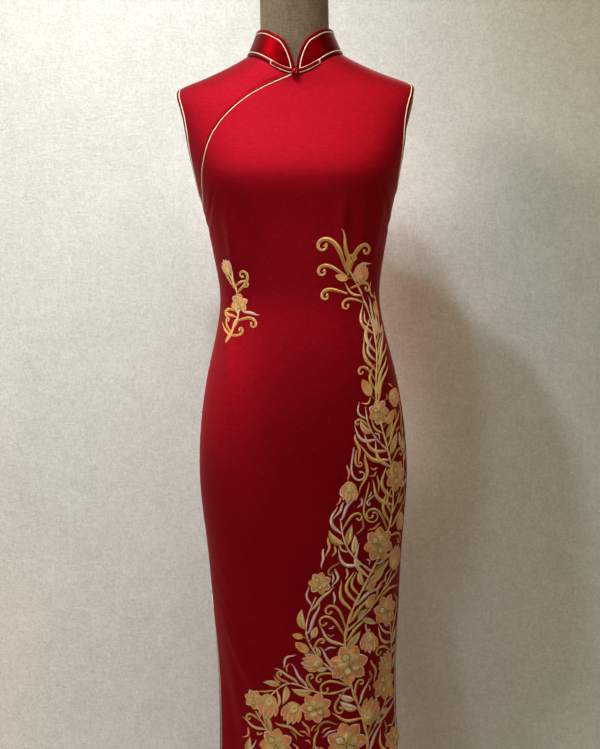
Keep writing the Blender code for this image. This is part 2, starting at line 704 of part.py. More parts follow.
# ---------------------------------------------------------------- collar and frog
def collar_height(turns):
    """Height of the collar along its slope at turns round the neck."""
    s = np.sin(turns)
    end = np.where(s < 0, COLLAR_HEIGHT["front"], COLLAR_HEIGHT["back"])
    return COLLAR_HEIGHT["side"] + (end - COLLAR_HEIGHT["side"]) * s ** 2


COLLAR_TURNS = np.linspace(MIDDLE_FRONT - 0.3, MIDDLE_FRONT + FULL_TURN + 0.3, COLLAR_STATIONS)


def collar_base():
    """The collar's base line as points, read at COLLAR_TURNS."""
    places = neckline(np.mod(COLLAR_TURNS - MIDDLE_FRONT, FULL_TURN) + MIDDLE_FRONT)
    return bare_place(places[:, 0], places[:, 1])


COLLAR_BASE = collar_base()


def collar_place(turns, height):
    """Points of the collar's outer face at turns round the neck and heights up its slope."""
    base = np.stack([np.interp(turns, COLLAR_TURNS, COLLAR_BASE[:, k]) for k in range(3)], axis=-1)
    depth = np.where(np.sin(turns) < 0, COLLAR_TOP_FRONT, COLLAR_TOP_BACK)
    top_x = COLLAR_TOP_HALF_WIDTH * np.cos(turns)
    top_y = depth * np.sin(turns)
    full = collar_height(turns)
    lean_x = top_x - base[..., 0]
    lean_y = top_y - base[..., 1]
    rise = np.sqrt(full ** 2 - lean_x ** 2 - lean_y ** 2)
    share = (height + COLLAR_LIFT) / full
    return base + np.stack((lean_x * share, lean_y * share, rise * share), axis=-1)


def turn_at(distance):
    """The turn round the neck at a distance along the collar's base from the middle front."""
    start = np.searchsorted(COLLAR_TURNS, MIDDLE_FRONT)
    half_round = slice(start, start + COLLAR_STATIONS // 2)
    run = np.linalg.norm(np.diff(COLLAR_BASE[half_round], axis=0), axis=1)
    return np.interp(distance, np.concatenate(([0], np.cumsum(run))), COLLAR_TURNS[half_round])


def collar_edge():
    """The collar's bound edge: up a rounded front corner, round the top and down the other."""
    bend = np.linspace(0, math.pi / 2, COLLAR_CORNER_SEGMENTS + 1)
    corner_turn = turn_at(SEAM_GAP + COLLAR_CORNER * (1 - np.cos(bend)))
    corner_height = collar_height(corner_turn) * np.sin(bend)
    first = np.stack((corner_turn, corner_height), axis=1)
    spans = COLLAR_SEGMENTS + 2 * (COLLAR_END_ROWS - COLLAR_CORNER_SEGMENTS)
    middle_turns = np.linspace(corner_turn[-1], math.pi - corner_turn[-1], spans + 1)
    middle = np.stack((middle_turns, collar_height(middle_turns)), axis=1)[1:-1]
    last = np.stack((math.pi - corner_turn, corner_height), axis=1)[::-1]
    return np.vstack((first, middle, last))[::-1]


def collar_level(height):
    """A path round the whole collar at one height up its slope."""
    turns = np.linspace(MIDDLE_FRONT - 0.2, MIDDLE_FRONT + FULL_TURN + 0.2, 120)
    return np.stack((turns, np.full_like(turns, height)), axis=1)


def collar_strip(height, border):
    """A path along the collar at one height between its two front borders."""
    path = collar_level(height)
    inset = np.minimum(path[:, 0] - MIDDLE_FRONT, MIDDLE_FRONT + FULL_TURN - path[:, 0])
    path = path[inset > 0.02]
    path = trim_end(trim_start(path, border[::-1]), border[::-1])
    return resample(collar_place, path, COLLAR_SEGMENTS)


def build_collar():
    """The stand-up collar, its bindings and piping."""
    outline = collar_edge()
    width = COLLAR_BINDING_WIDTH
    piping_low = width + SEAM_GAP
    piping_high = piping_low + PIPING_WIDTH
    panel_low = piping_high + SEAM_GAP

    heights = (0.0, 0.0, piping_low, piping_low, panel_low)
    offsets = (0.0, width, piping_low, piping_high, panel_low)
    top_edges = []
    for height, offset in zip(heights, offsets):
        edge = shift(collar_place, outline, offset)
        level = collar_level(height)
        top_edges.append(trim_end(trim_start(edge, level), level))
    ribbon("binding_collar", collar_place, top_edges[0:2], TRIM_PROUD, TRIM_WALL, "satin_trim")
    ribbon("piping_collar", collar_place, top_edges[2:4], PIPING_PROUD, TRIM_WALL, "gold_cord")

    inner_binding = shift(collar_place, outline, width + SEAM_GAP)
    inner_piping = shift(collar_place, outline, piping_high + SEAM_GAP)
    run_down = np.array(((0, width),))
    inner_binding = np.vstack((inner_binding[:1] - run_down, inner_binding,
                               inner_binding[-1:] - run_down))
    ribbon("binding_collar_base", collar_place,
           [collar_strip(h, inner_binding) for h in (0.0, width)],
           TRIM_PROUD, TRIM_WALL, "satin_trim")
    ribbon("piping_collar_base", collar_place,
           [collar_strip(h, inner_piping) for h in (piping_low, piping_high)],
           PIPING_PROUD, TRIM_WALL, "gold_cord")

    border = top_edges[4][::-1]
    left = border[:COLLAR_END_ROWS + 1]
    right = border[::-1][:COLLAR_END_ROWS + 1]
    top = border[COLLAR_END_ROWS:-COLLAR_END_ROWS]
    low = collar_level(panel_low)
    inside = low[(low[:, 0] > left[0, 0]) & (low[:, 0] < right[0, 0])]
    bottom = resample(collar_place, np.vstack((left[:1], inside, right[:1])), COLLAR_SEGMENTS)
    panel("collar", collar_place, patch(bottom, top, left, right), "satin")


def build_frog():
    """The straight frog fastening: a ball knot between two flat bars."""
    knot_point, knot_normal, _, _ = lay(collar_place, np.array(((MIDDLE_FRONT, -COLLAR_LIFT),)))
    centre = knot_point[0] + knot_normal[0] * (FROG_KNOT_RADIUS + TRIM_PROUD + 2 * SEAM_GAP)
    mesh = bpy.data.meshes.new("frog_knot")
    shape = bmesh.new()
    bmesh.ops.create_uvsphere(shape, u_segments=KNOT_SEGMENTS, v_segments=KNOT_RINGS,
                              radius=FROG_KNOT_RADIUS)
    shape.to_mesh(mesh)
    shape.free()
    mesh.shade_smooth()
    knot = add_object("frog_knot", mesh, "satin_trim")
    knot.location = centre
    for name, side in (("frog_bar_left", 1), ("frog_bar_right", -1)):
        reach = np.linspace(FROG_BAR_START, FROG_BAR_START + FROG_BAR_LENGTH, FROG_BAR_STATIONS)
        turns = turn_at(reach)
        turns = turns if side > 0 else math.pi - turns
        edges = [np.stack((turns, np.full_like(turns, h)), axis=1)
                 for h in (0, FROG_BAR_WIDTH)]
        proud = TRIM_PROUD + SEAM_GAP + FROG_BAR_THICKNESS
        ribbon(name, collar_place, edges, proud, FROG_BAR_THICKNESS, "satin_trim")


# ---------------------------------------------------------------- dress form and stand
def form_rings():
    """Rings of points round the form, from its bottom edge up to the top of its neck."""
    angles = np.linspace(0, FULL_TURN, FORM_SEGMENTS, endpoint=False)
    turns = np.linspace(MIDDLE_FRONT, MIDDLE_FRONT + FULL_TURN, COLLAR_STATIONS)
    neck_places = neckline(turns)
    wrapped = np.mod(angles - MIDDLE_FRONT, FULL_TURN) + MIDDLE_FRONT
    neck_z = np.interp(wrapped, np.unwrap(neck_places[:, 0]), neck_places[:, 1])
    rings = [form_ring(angles, np.full_like(angles, level)) for level in FORM_LEVELS]
    rings[0][:, 2] = FORM_BOTTOM_Z
    start = FORM_LEVELS[-1]
    for share in FORM_SHOULDER_SHARES:
        rings.append(form_ring(angles, start + (neck_z - start) * share))
    root = rings[-1]
    depth = np.where(np.sin(angles) < 0, FORM_NECK_FRONT, FORM_NECK_BACK)
    neck_x = FORM_NECK_HALF_WIDTH * np.cos(angles)
    neck_y = depth * np.sin(angles)
    for turn in FORM_NECK_BENDS:
        bend = turn * math.pi / 2
        share = math.sin(bend)
        ring = root.copy()
        ring[:, 0] += (neck_x - root[:, 0]) * share
        ring[:, 1] += (neck_y - root[:, 1]) * share
        ring[:, 2] += FORM_NECK_CURVE * (1 - math.cos(bend)) + FORM_NECK_RISE * share
        rings.append(ring)
    top = rings[-1].copy()
    top[:, 2] = FORM_NECK_TOP_Z
    rings.append((rings[-1] + top) / 2)
    rings.append(top)
    return rings


def form_ring(angles, levels):
    """One ring of the form, behind the cloth by its wall and the air at that height."""
    point, normal, _, _ = lay(bare_place, np.stack((angles, levels), axis=1))
    heights, gaps = np.array(FORM_EASE).T
    gap = np.interp(levels, heights, gaps)
    ring = point - normal * (WALL + gap)[:, None]
    heights, plates = np.array(ARM_PLATE).T
    limit = np.interp(levels, heights, plates) + ARM_PLATE_SHIFT * np.sign(ring[:, 0])
    share = np.abs(ring[:, 0]) / limit
    ring[:, 0] /= (1 + share ** ARM_PLATE_POWER) ** (1 / ARM_PLATE_POWER)
    return ring


def capped_loft(name, rings, finish):
    """A closed solid through rings of equal size with flat ends."""
    count = len(rings[0])
    points = np.concatenate(rings)
    faces = []
    for i in range(len(rings) - 1):
        for j in range(count):
            k = (j + 1) % count
            faces.append([i * count + j, i * count + k, (i + 1) * count + k, (i + 1) * count + j])
    faces.append(list(range(count))[::-1])
    faces.append([(len(rings) - 1) * count + j for j in range(count)])
    return add_mesh(name, points, faces, finish)


def turned(name, profile, finish):
    """A turned solid about the upright axis, from its outer profile read top to bottom."""
    mesh = bpy.data.meshes.new(name)
    points = [(x, 0, z) for x, z in profile]
    mesh.from_pydata(points, [(i, i + 1) for i in range(len(points) - 1)], [])
    made = add_object(name, mesh, finish)
    spin = made.modifiers.new("turn", "SCREW")
    spin.steps = ROUND_SEGMENTS
    spin.render_steps = ROUND_SEGMENTS
    spin.use_merge_vertices = True
    spin.merge_threshold = 0.0001
    spin.use_smooth_shade = True
    return made


def build_form():
    """The covered form, its neck cap, and the stand that carries it."""
    rings = form_rings()
    capped_loft("form_torso", rings, "linen")
    neck = rings[-1].copy()
    cap = []
    for share, height in NECK_CAP_PROFILE:
        ring = neck.copy()
        ring[:, :2] *= share
        ring[:, 2] += height
        cap.append(ring)
    capped_loft("form_neck_cap", cap, "wood")
    socket_top = FORM_BOTTOM_Z - SEAM_GAP
    socket_low = socket_top - SOCKET_HEIGHT
    flange_low = socket_top - SOCKET_FLANGE_THICKNESS
    turned("form_socket", ((0, socket_top), (SOCKET_FLANGE_RADIUS, socket_top),
                           (SOCKET_FLANGE_RADIUS, flange_low),
                           (SOCKET_RADIUS, flange_low - EDGE_ROUNDING),
                           (SOCKET_RADIUS, socket_low), (0, socket_low)), "steel")
    hub_low = BASE_THICKNESS + SEAM_GAP
    hub_top = BASE_THICKNESS + HUB_HEIGHT
    pole_low = hub_top + SEAM_GAP
    pole_high = socket_low - SEAM_GAP
    turned("form_pole", ((0, pole_high), (POLE_RADIUS, pole_high), (POLE_RADIUS, pole_low),
                         (0, pole_low)), "steel")
    turned("form_hub", ((0, hub_top), (HUB_RADIUS - EDGE_ROUNDING, hub_top),
                        (HUB_RADIUS, hub_top - EDGE_ROUNDING),
                        (HUB_RADIUS, hub_low + HUB_FOOT_HEIGHT), (HUB_FOOT_RADIUS, hub_low),
                        (0, hub_low)), "steel")
    turned("form_base", ((0, BASE_THICKNESS), (HUB_FOOT_RADIUS + EDGE_ROUNDING, BASE_THICKNESS),
                         (BASE_RADIUS - BASE_BEVEL, BASE_THICKNESS),
                         (BASE_RADIUS, BASE_THICKNESS - BASE_BEVEL), (BASE_RADIUS, BASE_BEVEL),
                         (BASE_RADIUS - BASE_BEVEL, 0), (0, 0)), "base_paint")


for existing in list(bpy.data.objects):
    bpy.data.objects.remove(existing, do_unlink=True)
PARTS = bpy.data.collections.new("cheongsam_dress_on_dress_form")
bpy.context.scene.collection.children.link(PARTS)
build_dress()
build_collar()
build_frog()
build_form()
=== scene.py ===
"""Cheongsam dress on a dress form: satin panels, bindings, gold piping, frog, embroidery and stand.

Metres, +Z up. The front of the dress faces -Y and the wearer's left is +X. The cloth lies on the
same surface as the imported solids, which a spline through a short table of sections describes.
"""

import logging
import math
from dataclasses import dataclass, field
from enum import Enum
from typing import Callable, Iterable, Optional, Sequence, Union

import bmesh
import bpy
import numpy as np
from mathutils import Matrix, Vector


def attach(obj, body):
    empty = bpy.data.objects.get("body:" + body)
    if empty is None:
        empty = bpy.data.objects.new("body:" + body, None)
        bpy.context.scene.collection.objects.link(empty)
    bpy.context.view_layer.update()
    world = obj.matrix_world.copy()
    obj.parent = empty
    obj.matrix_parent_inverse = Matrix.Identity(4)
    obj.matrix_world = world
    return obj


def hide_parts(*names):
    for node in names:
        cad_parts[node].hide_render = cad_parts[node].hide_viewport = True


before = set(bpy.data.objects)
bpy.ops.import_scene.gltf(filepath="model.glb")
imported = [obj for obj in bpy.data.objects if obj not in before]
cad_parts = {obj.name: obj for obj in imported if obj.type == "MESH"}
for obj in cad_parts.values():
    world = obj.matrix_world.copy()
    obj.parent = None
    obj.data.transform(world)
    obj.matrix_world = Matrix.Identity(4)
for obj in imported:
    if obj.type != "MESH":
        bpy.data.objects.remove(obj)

Array = np.ndarray
Colour = tuple[float, float, float]
Fit = Callable[[Array], Array]      # trims a path to length
LOG = logging.getLogger("cheongsam")

BODY = "root"
SEAM_GAP = 0.00012            # between pieces that meet at a seam
BINDING_WIDTH = 0.0044
PIPING_WIDTH = 0.0013
UNDER_PIPING = 0.9            # share of the piping's width at which the panel starts
HEM_Z = 0.100
SLIT_TOP_Z = 0.562
MIDDLE_FRONT = -math.pi / 2   # turn or angle at which a ring starts, running towards the left
FULL_TURN = 2 * math.pi

# Outline of the dress at each height: z, half width at the side seams, front y, back y, the side
# seams' own y, and how square the front and back of the section are (2 is an ellipse).
SECTIONS = (
    (0.060, 0.1630, -0.086, 0.092, 0.000, 1.75, 1.80),
    (0.300, 0.1528, -0.088, 0.093, 0.000, 1.82, 1.86),
    (0.450, 0.1450, -0.090, 0.094, 0.000, 2.08, 2.08),
    (0.560, 0.1502, -0.093, 0.097, 0.001, 2.30, 2.26),
    (0.650, 0.1568, -0.096, 0.102, 0.002, 2.30, 2.25),
    (0.745, 0.1655, -0.100, 0.111, 0.003, 2.26, 2.22),
    (0.850, 0.1608, -0.104, 0.119, 0.004, 2.22, 2.20),
    (0.920, 0.1492, -0.101, 0.111, 0.002, 2.20, 2.20),
    (0.975, 0.1360, -0.094, 0.092, 0.000, 2.22, 2.20),
    (1.040, 0.1258, -0.086, 0.075, -0.003, 2.25, 2.22),
    (1.107, 0.1342, -0.094, 0.081, -0.005, 2.35, 2.25),
    (1.164, 0.1445, -0.109, 0.092, -0.006, 2.55, 2.35),
    (1.192, 0.1512, -0.1185, 0.096, -0.006, 2.68, 2.38),
    (1.212, 0.1566, -0.1246, 0.099, -0.006, 2.75, 2.40),
    (1.228, 0.1612, -0.1262, 0.100, -0.005, 2.75, 2.40),
    (1.245, 0.1667, -0.1222, 0.101, -0.004, 2.75, 2.40),
    (1.280, 0.1778, -0.1075, 0.101, -0.002, 2.70, 2.35),
    (1.313, 0.1873, -0.092, 0.098, 0.000, 2.60, 2.25),
    (1.340, 0.1945, -0.080, 0.092, 0.000, 2.40, 2.10),
    (1.356, 0.1935, -0.073, 0.087, 0.000, 2.20, 2.02),
    (1.3672, 0.1815, -0.069, 0.083, 0.000, 2.05, 2.02),
    (1.380, 0.1495, -0.0655, 0.077, 0.000, 2.00, 2.00),
    (1.396, 0.1115, -0.060, 0.069, 0.000, 2.00, 2.00),
    (1.4135, 0.0780, -0.054, 0.059, 0.000, 2.00, 2.00),
    (1.430, 0.0560, -0.048, 0.050, 0.000, 2.00, 2.00),
    (1.450, 0.0400, -0.040, 0.038, 0.000, 2.00, 2.00),
)


class Face(Enum):
    """Which side of the dress a crease lies on."""

    FRONT = -1
    BACK = 1


class CreaseShape(Enum):
    """How a crease looks in section."""

    SOFT = "soft"
    CRISP = "crisp"
    DART = "dart"


@dataclass(frozen=True)
class Crease:
    """A fold, wrinkle or dart: a line on one face from its upper to its lower end."""

    face: Face
    top_x: float
    top_z: float
    low_x: float
    low_z: float
    width: float      # how far it reaches to each side
    height: float     # how far it stands out, or lies in when negative
    shape: CreaseShape = CreaseShape.SOFT

    def lift(self, face: Array, x: Array, z: Array) -> Array:
        """Height of the crease at places on the dress.

        Args:
            face: -1 at places on the front and 1 on the back.
            x: Sideways places.
            z: Heights.

        Returns:
            How far the cloth moves out at each place.
        """
        run = np.array((self.low_x - self.top_x, self.low_z - self.top_z))
        length = float(np.hypot(*run))
        run = run / length
        x, z = x - self.top_x, z - self.top_z
        along = (x * run[0] + z * run[1]) / length
        across = np.abs(x * run[1] - z * run[0]) / self.width
        window = np.sin(np.pi * np.clip(along, 0, 1)) ** 1.2
        if self.shape is CreaseShape.SOFT:
            section = np.exp(-across ** 2)
        elif self.shape is CreaseShape.CRISP:
            section = np.exp(-1.35 * (np.sqrt(across ** 2 + 0.02) - 0.14))
        else:
            window = np.clip(np.sin(np.pi * np.clip(along, 0, 1)) * 2.2, 0, 1)
            section = np.exp(-across ** 2) - 0.55 * np.exp(-(across / 3.2) ** 2)
        return np.where(face == self.face.value, self.height * window * section, 0)


FRONT, BACK = Face.FRONT, Face.BACK
SOFT, CRISP, DART = CreaseShape.SOFT, CreaseShape.CRISP, CreaseShape.DART

# The columns of both tables are Crease's fields.
# The large soft folds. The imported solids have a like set, shallower, without the one at the hip.
FOLDS = tuple(Crease(*row) for row in (
    (FRONT, -0.108, 1.205, -0.097, 1.070, 0.0085, 0.0046),
    (FRONT, -0.082, 1.200, -0.074, 1.090, 0.0085, -0.0026),
    (FRONT, 0.069, 1.202, 0.063, 1.085, 0.0080, 0.0042),
    (FRONT, 0.101, 1.200, 0.088, 1.065, 0.0080, 0.0044),
    (FRONT, 0.125, 1.190, 0.108, 1.080, 0.0075, 0.0038),
    (FRONT, -0.112, 1.085, -0.114, 0.850, 0.0100, 0.0030),
    (FRONT, -0.138, 0.575, -0.062, 0.375, 0.0125, 0.0042),
    (FRONT, -0.134, 0.545, -0.100, 0.330, 0.0110, 0.0036),
    (FRONT, -0.128, 0.500, -0.112, 0.280, 0.0110, -0.0024),
    (FRONT, 0.138, 0.570, 0.085, 0.390, 0.0140, 0.0034),
    (FRONT, 0.130, 0.510, 0.108, 0.300, 0.0120, -0.0015),
    (BACK, -0.120, 1.020, -0.030, 0.985, 0.0120, 0.0020),
    (BACK, 0.118, 1.028, 0.028, 0.998, 0.0120, 0.0022),
    (BACK, -0.132, 0.565, -0.070, 0.380, 0.0150, 0.0024),
    (BACK, 0.134, 0.560, 0.082, 0.370, 0.0150, 0.0022),
))

# Darts and the finer wrinkles.
WRINKLES = tuple(Crease(*row) for row in (
    (FRONT, -0.0985, 1.140, -0.0965, 0.885, 0.0026, -0.0019, DART),
    (FRONT, 0.0985, 1.140, 0.0965, 0.885, 0.0026, -0.0019, DART),
    (FRONT, -0.126, 1.212, -0.1445, 1.135, 0.0028, -0.0022, DART),
    (FRONT, 0.126, 1.212, 0.1445, 1.135, 0.0028, -0.0022, DART),
    (BACK, -0.074, 1.175, -0.080, 0.880, 0.0017, -0.0010, DART),
    (BACK, 0.074, 1.175, 0.080, 0.880, 0.0017, -0.0010, DART),
    (FRONT, -0.136, 0.560, -0.093, 0.435, 0.0042, 0.0021, CRISP),
    (FRONT, -0.139, 0.590, -0.082, 0.470, 0.0050, 0.0018, CRISP),
    (FRONT, -0.141, 0.640, -0.104, 0.545, 0.0040, 0.0011, CRISP),
    (FRONT, -0.100, 0.440, -0.086, 0.385, 0.0040, 0.0009, CRISP),
    (FRONT, 0.137, 0.585, 0.098, 0.470, 0.0048, 0.0010, CRISP),
    (FRONT, 0.136, 0.545, 0.112, 0.420, 0.0042, 0.0008, CRISP),
    (BACK, -0.136, 0.575, -0.090, 0.450, 0.0046, 0.0011, CRISP),
    (BACK, 0.136, 0.560, 0.096, 0.430, 0.0044, 0.0010, CRISP),
    (BACK, 0.138, 0.610, 0.090, 0.520, 0.0050, 0.0007, CRISP),
    (FRONT, -0.118, 1.190, -0.104, 1.120, 0.0040, 0.0008),
    (FRONT, -0.110, 1.200, -0.100, 1.140, 0.0030, -0.0006),
    (FRONT, 0.098, 1.205, 0.086, 1.100, 0.0045, -0.0009),
    (FRONT, 0.070, 1.205, 0.064, 1.110, 0.0040, 0.0008),
    (FRONT, 0.130, 1.195, 0.121, 1.110, 0.0030, 0.0009),
    (FRONT, -0.126, 1.062, -0.086, 1.046, 0.0050, 0.0008),
    (FRONT, -0.124, 1.032, -0.092, 1.030, 0.0040, -0.0006),
    (FRONT, 0.124, 1.052, 0.088, 1.042, 0.0050, 0.0007),
    (BACK, -0.120, 1.052, -0.050, 1.036, 0.0050, 0.0011),
    (BACK, 0.116, 1.064, 0.046, 1.040, 0.0055, 0.0010),
    (BACK, -0.098, 0.998, -0.020, 0.975, 0.0060, -0.0008),
    (BACK, 0.130, 1.200, 0.104, 1.130, 0.0060, 0.0010),
    (BACK, -0.132, 1.190, -0.108, 1.120, 0.0060, 0.0010),
    (BACK, -0.110, 0.800, -0.045, 0.770, 0.0070, 0.0008),
    (BACK, 0.104, 0.790, 0.040, 0.772, 0.0070, 0.0008),
))


# ------------------------------------------------------------------ surfaces
class Spline:
    """A natural cubic spline through the rows of a table whose first column is the position."""

    def __init__(self, rows: Sequence[Sequence[float]]) -> None:
        """Solve for the spline's bends."""
        table = np.array(rows, dtype=float)
        self.knots = table[:, 0]
        self.values = table[:, 1:]
        step = np.diff(self.knots)
        count = len(self.knots)
        matrix = np.eye(count)
        right = np.zeros_like(self.values)
        for i in range(1, count - 1):
            matrix[i, i - 1:i + 2] = (step[i - 1], 2 * (step[i - 1] + step[i]), step[i])
            rise = (self.values[i + 1] - self.values[i]) / step[i]
            right[i] = 6 * (rise - (self.values[i] - self.values[i - 1]) / step[i - 1])
        self.bends = np.linalg.solve(matrix, right)

    def at(self, position: Array) -> list[Array]:
        """Read the spline.

        Args:
            position: Where to read it.

        Returns:
            One array for each column of the table.
        """
        position = np.asarray(position, dtype=float)
        i = np.clip(np.searchsorted(self.knots, position) - 1, 0, len(self.knots) - 2)
        width = self.knots[i + 1] - self.knots[i]
        low = (self.knots[i + 1] - position) / width
        high = 1 - low
        columns = []
        for c in range(self.values.shape[1]):
            value = low * self.values[i, c] + high * self.values[i + 1, c]
            value += ((low ** 3 - low) * self.bends[i, c]
                      + (high ** 3 - high) * self.bends[i + 1, c]) * width ** 2 / 6
            columns.append(value)
        return columns


def unit(vectors: Array) -> Array:
    """The vectors of the last axis at length 1."""
    return vectors / np.maximum(np.linalg.norm(vectors, axis=-1, keepdims=True), 1e-12)


def run_length(points: Array) -> Array:
    """Distance from the first point of a path to each of its points."""
    steps = np.linalg.norm(np.diff(points, axis=0), axis=1)
    return np.concatenate(([0.0], np.cumsum(steps)))


def pairs(first: Array, second: Array) -> Array:
    """Two rows of numbers as one row of pairs."""
    return np.stack((first, second), axis=1)


def tangents(line: Array) -> Array:
    """A line's direction at each of its points."""
    return unit(np.gradient(line, axis=0))


def heading_of(direction: Array) -> float:
    """The angle of a direction on the flat front."""
    return math.atan2(direction[1], direction[0])


def round_turns(count: int) -> Array:
    """Angles once round, evenly apart."""
    return np.linspace(0, FULL_TURN, count, endpoint=False)


def read_pairs(want: Array, have: Array, rows: Array) -> Array:
    """Rows of pairs read at other positions."""
    return np.stack([np.interp(want, have, rows[:, k]) for k in (0, 1)], axis=1)


def smooth_line(knots: Array, positions: Array, want: Array) -> Array:
    """A smooth line through knots at given positions, read at others."""
    return np.stack(Spline(np.column_stack((positions, knots))).at(want), axis=1)


class Surface:
    """A surface that is read at two numbers, and paths that lie in it."""

    def place(self, u: Array, v: Array) -> Array:
        """Points of the surface; each kind of surface has its own."""
        raise NotImplementedError

    def lay(self, path: Array) -> tuple[Array, Array, Array, Array]:
        """Points, outward normals and the two edge directions along a path or over a grid."""
        u, v = path[..., 0], path[..., 1]
        du, dv = 1e-4, 1e-5
        along_u = (self.place(u + du, v) - self.place(u - du, v)) / (2 * du)
        along_v = (self.place(u, v + dv) - self.place(u, v - dv)) / (2 * dv)
        return self.place(u, v), unit(np.cross(along_u, along_v)), along_u, along_v

    def shift(self, path: Array, distance: Union[float, Array], closed: bool = False) -> Array:
        """Move a path sideways in the surface, to the left of its own direction.

        Args:
            path: The path's places.
            distance: How far to move each, or all, of them.
            closed: Whether the path is a ring.

        Returns:
            The moved places.
        """
        steps = 3
        path = np.array(path, dtype=float)
        part = np.broadcast_to(distance, len(path)) / steps
        for _ in range(steps):
            point, normal, along_u, along_v = self.lay(path)
            if closed:
                ahead = np.roll(point, -1, axis=0) - point
                behind = np.roll(ahead, 1, axis=0)
            else:
                ahead = np.vstack((point[1:] - point[:-1], point[-1:] - point[-2:-1]))
                behind = np.vstack((ahead[:1], ahead[:-1]))
            left_ahead = unit(np.cross(normal, ahead))
            left_behind = unit(np.cross(normal, behind))
            turn = np.sum(left_ahead * left_behind, axis=1, keepdims=True)
            move = (left_ahead + left_behind) / np.maximum(1 + turn, 0.5) * part[:, None]
            uu, uv, vv = (np.sum(a * b, axis=1) for a, b in
                          ((along_u, along_u), (along_u, along_v), (along_v, along_v)))
            mu, mv = (np.sum(move * a, axis=1) for a in (along_u, along_v))
            scale = uu * vv - uv ** 2
            path[:, 0] += (mu * vv - mv * uv) / scale
            path[:, 1] += (mv * uu - mu * uv) / scale
        return path

    def resample(self, path: Array, segments: int, shares: Optional[Array] = None) -> Array:
        """The same path with points at shares of its real length, even if none are given."""
        length = run_length(self.place(path[:, 0], path[:, 1]))
        want = length[-1] * (np.linspace(0, 1, segments + 1) if shares is None else shares)
        return read_pairs(want, length, path)

    def stretch(self, path: Array) -> Array:
        """Metres of cloth in one unit of the surface's first number, along a path."""
        return np.linalg.norm(self.lay(path)[2], axis=1)


class DressSurface(Surface):
    """The outer face of the dress, read at an angle round the body and a height.

    Angle 0 is the left side seam, -pi/2 the middle of the front and pi/2 of the back.
    """

    def __init__(self, sections: Sequence[Sequence[float]], creases: Sequence[Crease]) -> None:
        """Take the outline and the creases on it."""
        self.outline = Spline(sections)
        self.creases = tuple(creases)

    def place(self, angle: Array, z: Array) -> Array:
        """Points of the cloth's outer face."""
        half, front, back, side, square_front, square_back = self.outline.at(z)
        c, s = np.cos(angle), np.sin(angle)
        depth = np.where(s < 0, side - front, back - side)
        power = np.where(s < 0, square_front, square_back)
        reach = (np.abs(c) ** power + np.abs(s) ** power) ** (-1 / power)
        x = half * c * reach
        y = side + depth * s * reach
        if self.creases:
            face = np.where(s < 0, -1, 1)
            lift = sum(crease.lift(face, x, z) for crease in self.creases)
            out = np.hypot(c / half, s / depth)
            x = x + lift * c / half / out
            y = y + lift * s / depth / out
        return np.stack((x, y, z + 0 * x), axis=-1)

    def seam(self, angle: float, side: int, z: Iterable[float]) -> Array:
        """An upright line beside a seam, half a seam gap to one side of it."""
        z = np.asarray(z, dtype=float)
        offset = side * SEAM_GAP / 2 / self.stretch(pairs(np.full_like(z, angle), z))
        return pairs(angle + offset, z)


BARE = DressSurface(SECTIONS, ())
DRESS = DressSurface(SECTIONS, FOLDS + WRINKLES)


@dataclass
class Neck:
    """The neckline and the stand-up collar's surface on it."""

    half_width: float = 0.0748
    front: float = 0.0650
    back: float = 0.0505
    top_half_width: float = 0.0588
    top_front: float = 0.0585
    top_back: float = 0.0480
    height_front: float = 0.0490
    height_side: float = 0.0410
    height_back: float = 0.0450
    lift: float = 0.0006
    range_z: tuple[float, float] = (1.36, 1.449)

    def line(self, turns: Array) -> Array:
        """Places on the dress where the collar's outer face starts.

        Args:
            turns: Turns round the neck, from the middle of the front.

        Returns:
            Angles and heights on the dress.
        """
        x = self.half_width * np.cos(turns)
        y = np.where(np.sin(turns) < 0, self.front, self.back) * np.sin(turns)
        low, high = (np.full_like(x, end) for end in self.range_z)
        for _ in range(50):
            z = (low + high) / 2
            half, front, back, side, square_front, square_back = BARE.outline.at(z)
            depth = np.where(y < side, side - front, back - side)
            power = np.where(y < side, square_front, square_back)
            outside = (np.abs(x) / half) ** power + (np.abs(y - side) / depth) ** power > 1
            high = np.where(outside, z, high)
            low = np.where(outside, low, z)
        angle = np.arctan2((y - side) / depth, x / half)
        return pairs(np.where(turns > math.pi / 2, np.mod(angle, FULL_TURN), angle), z)

    def height(self, turns: Array) -> Array:
        """Height of the collar along its slope."""
        s = np.sin(turns)
        end = np.where(s < 0, self.height_front, self.height_back)
        return self.height_side + (end - self.height_side) * s ** 2


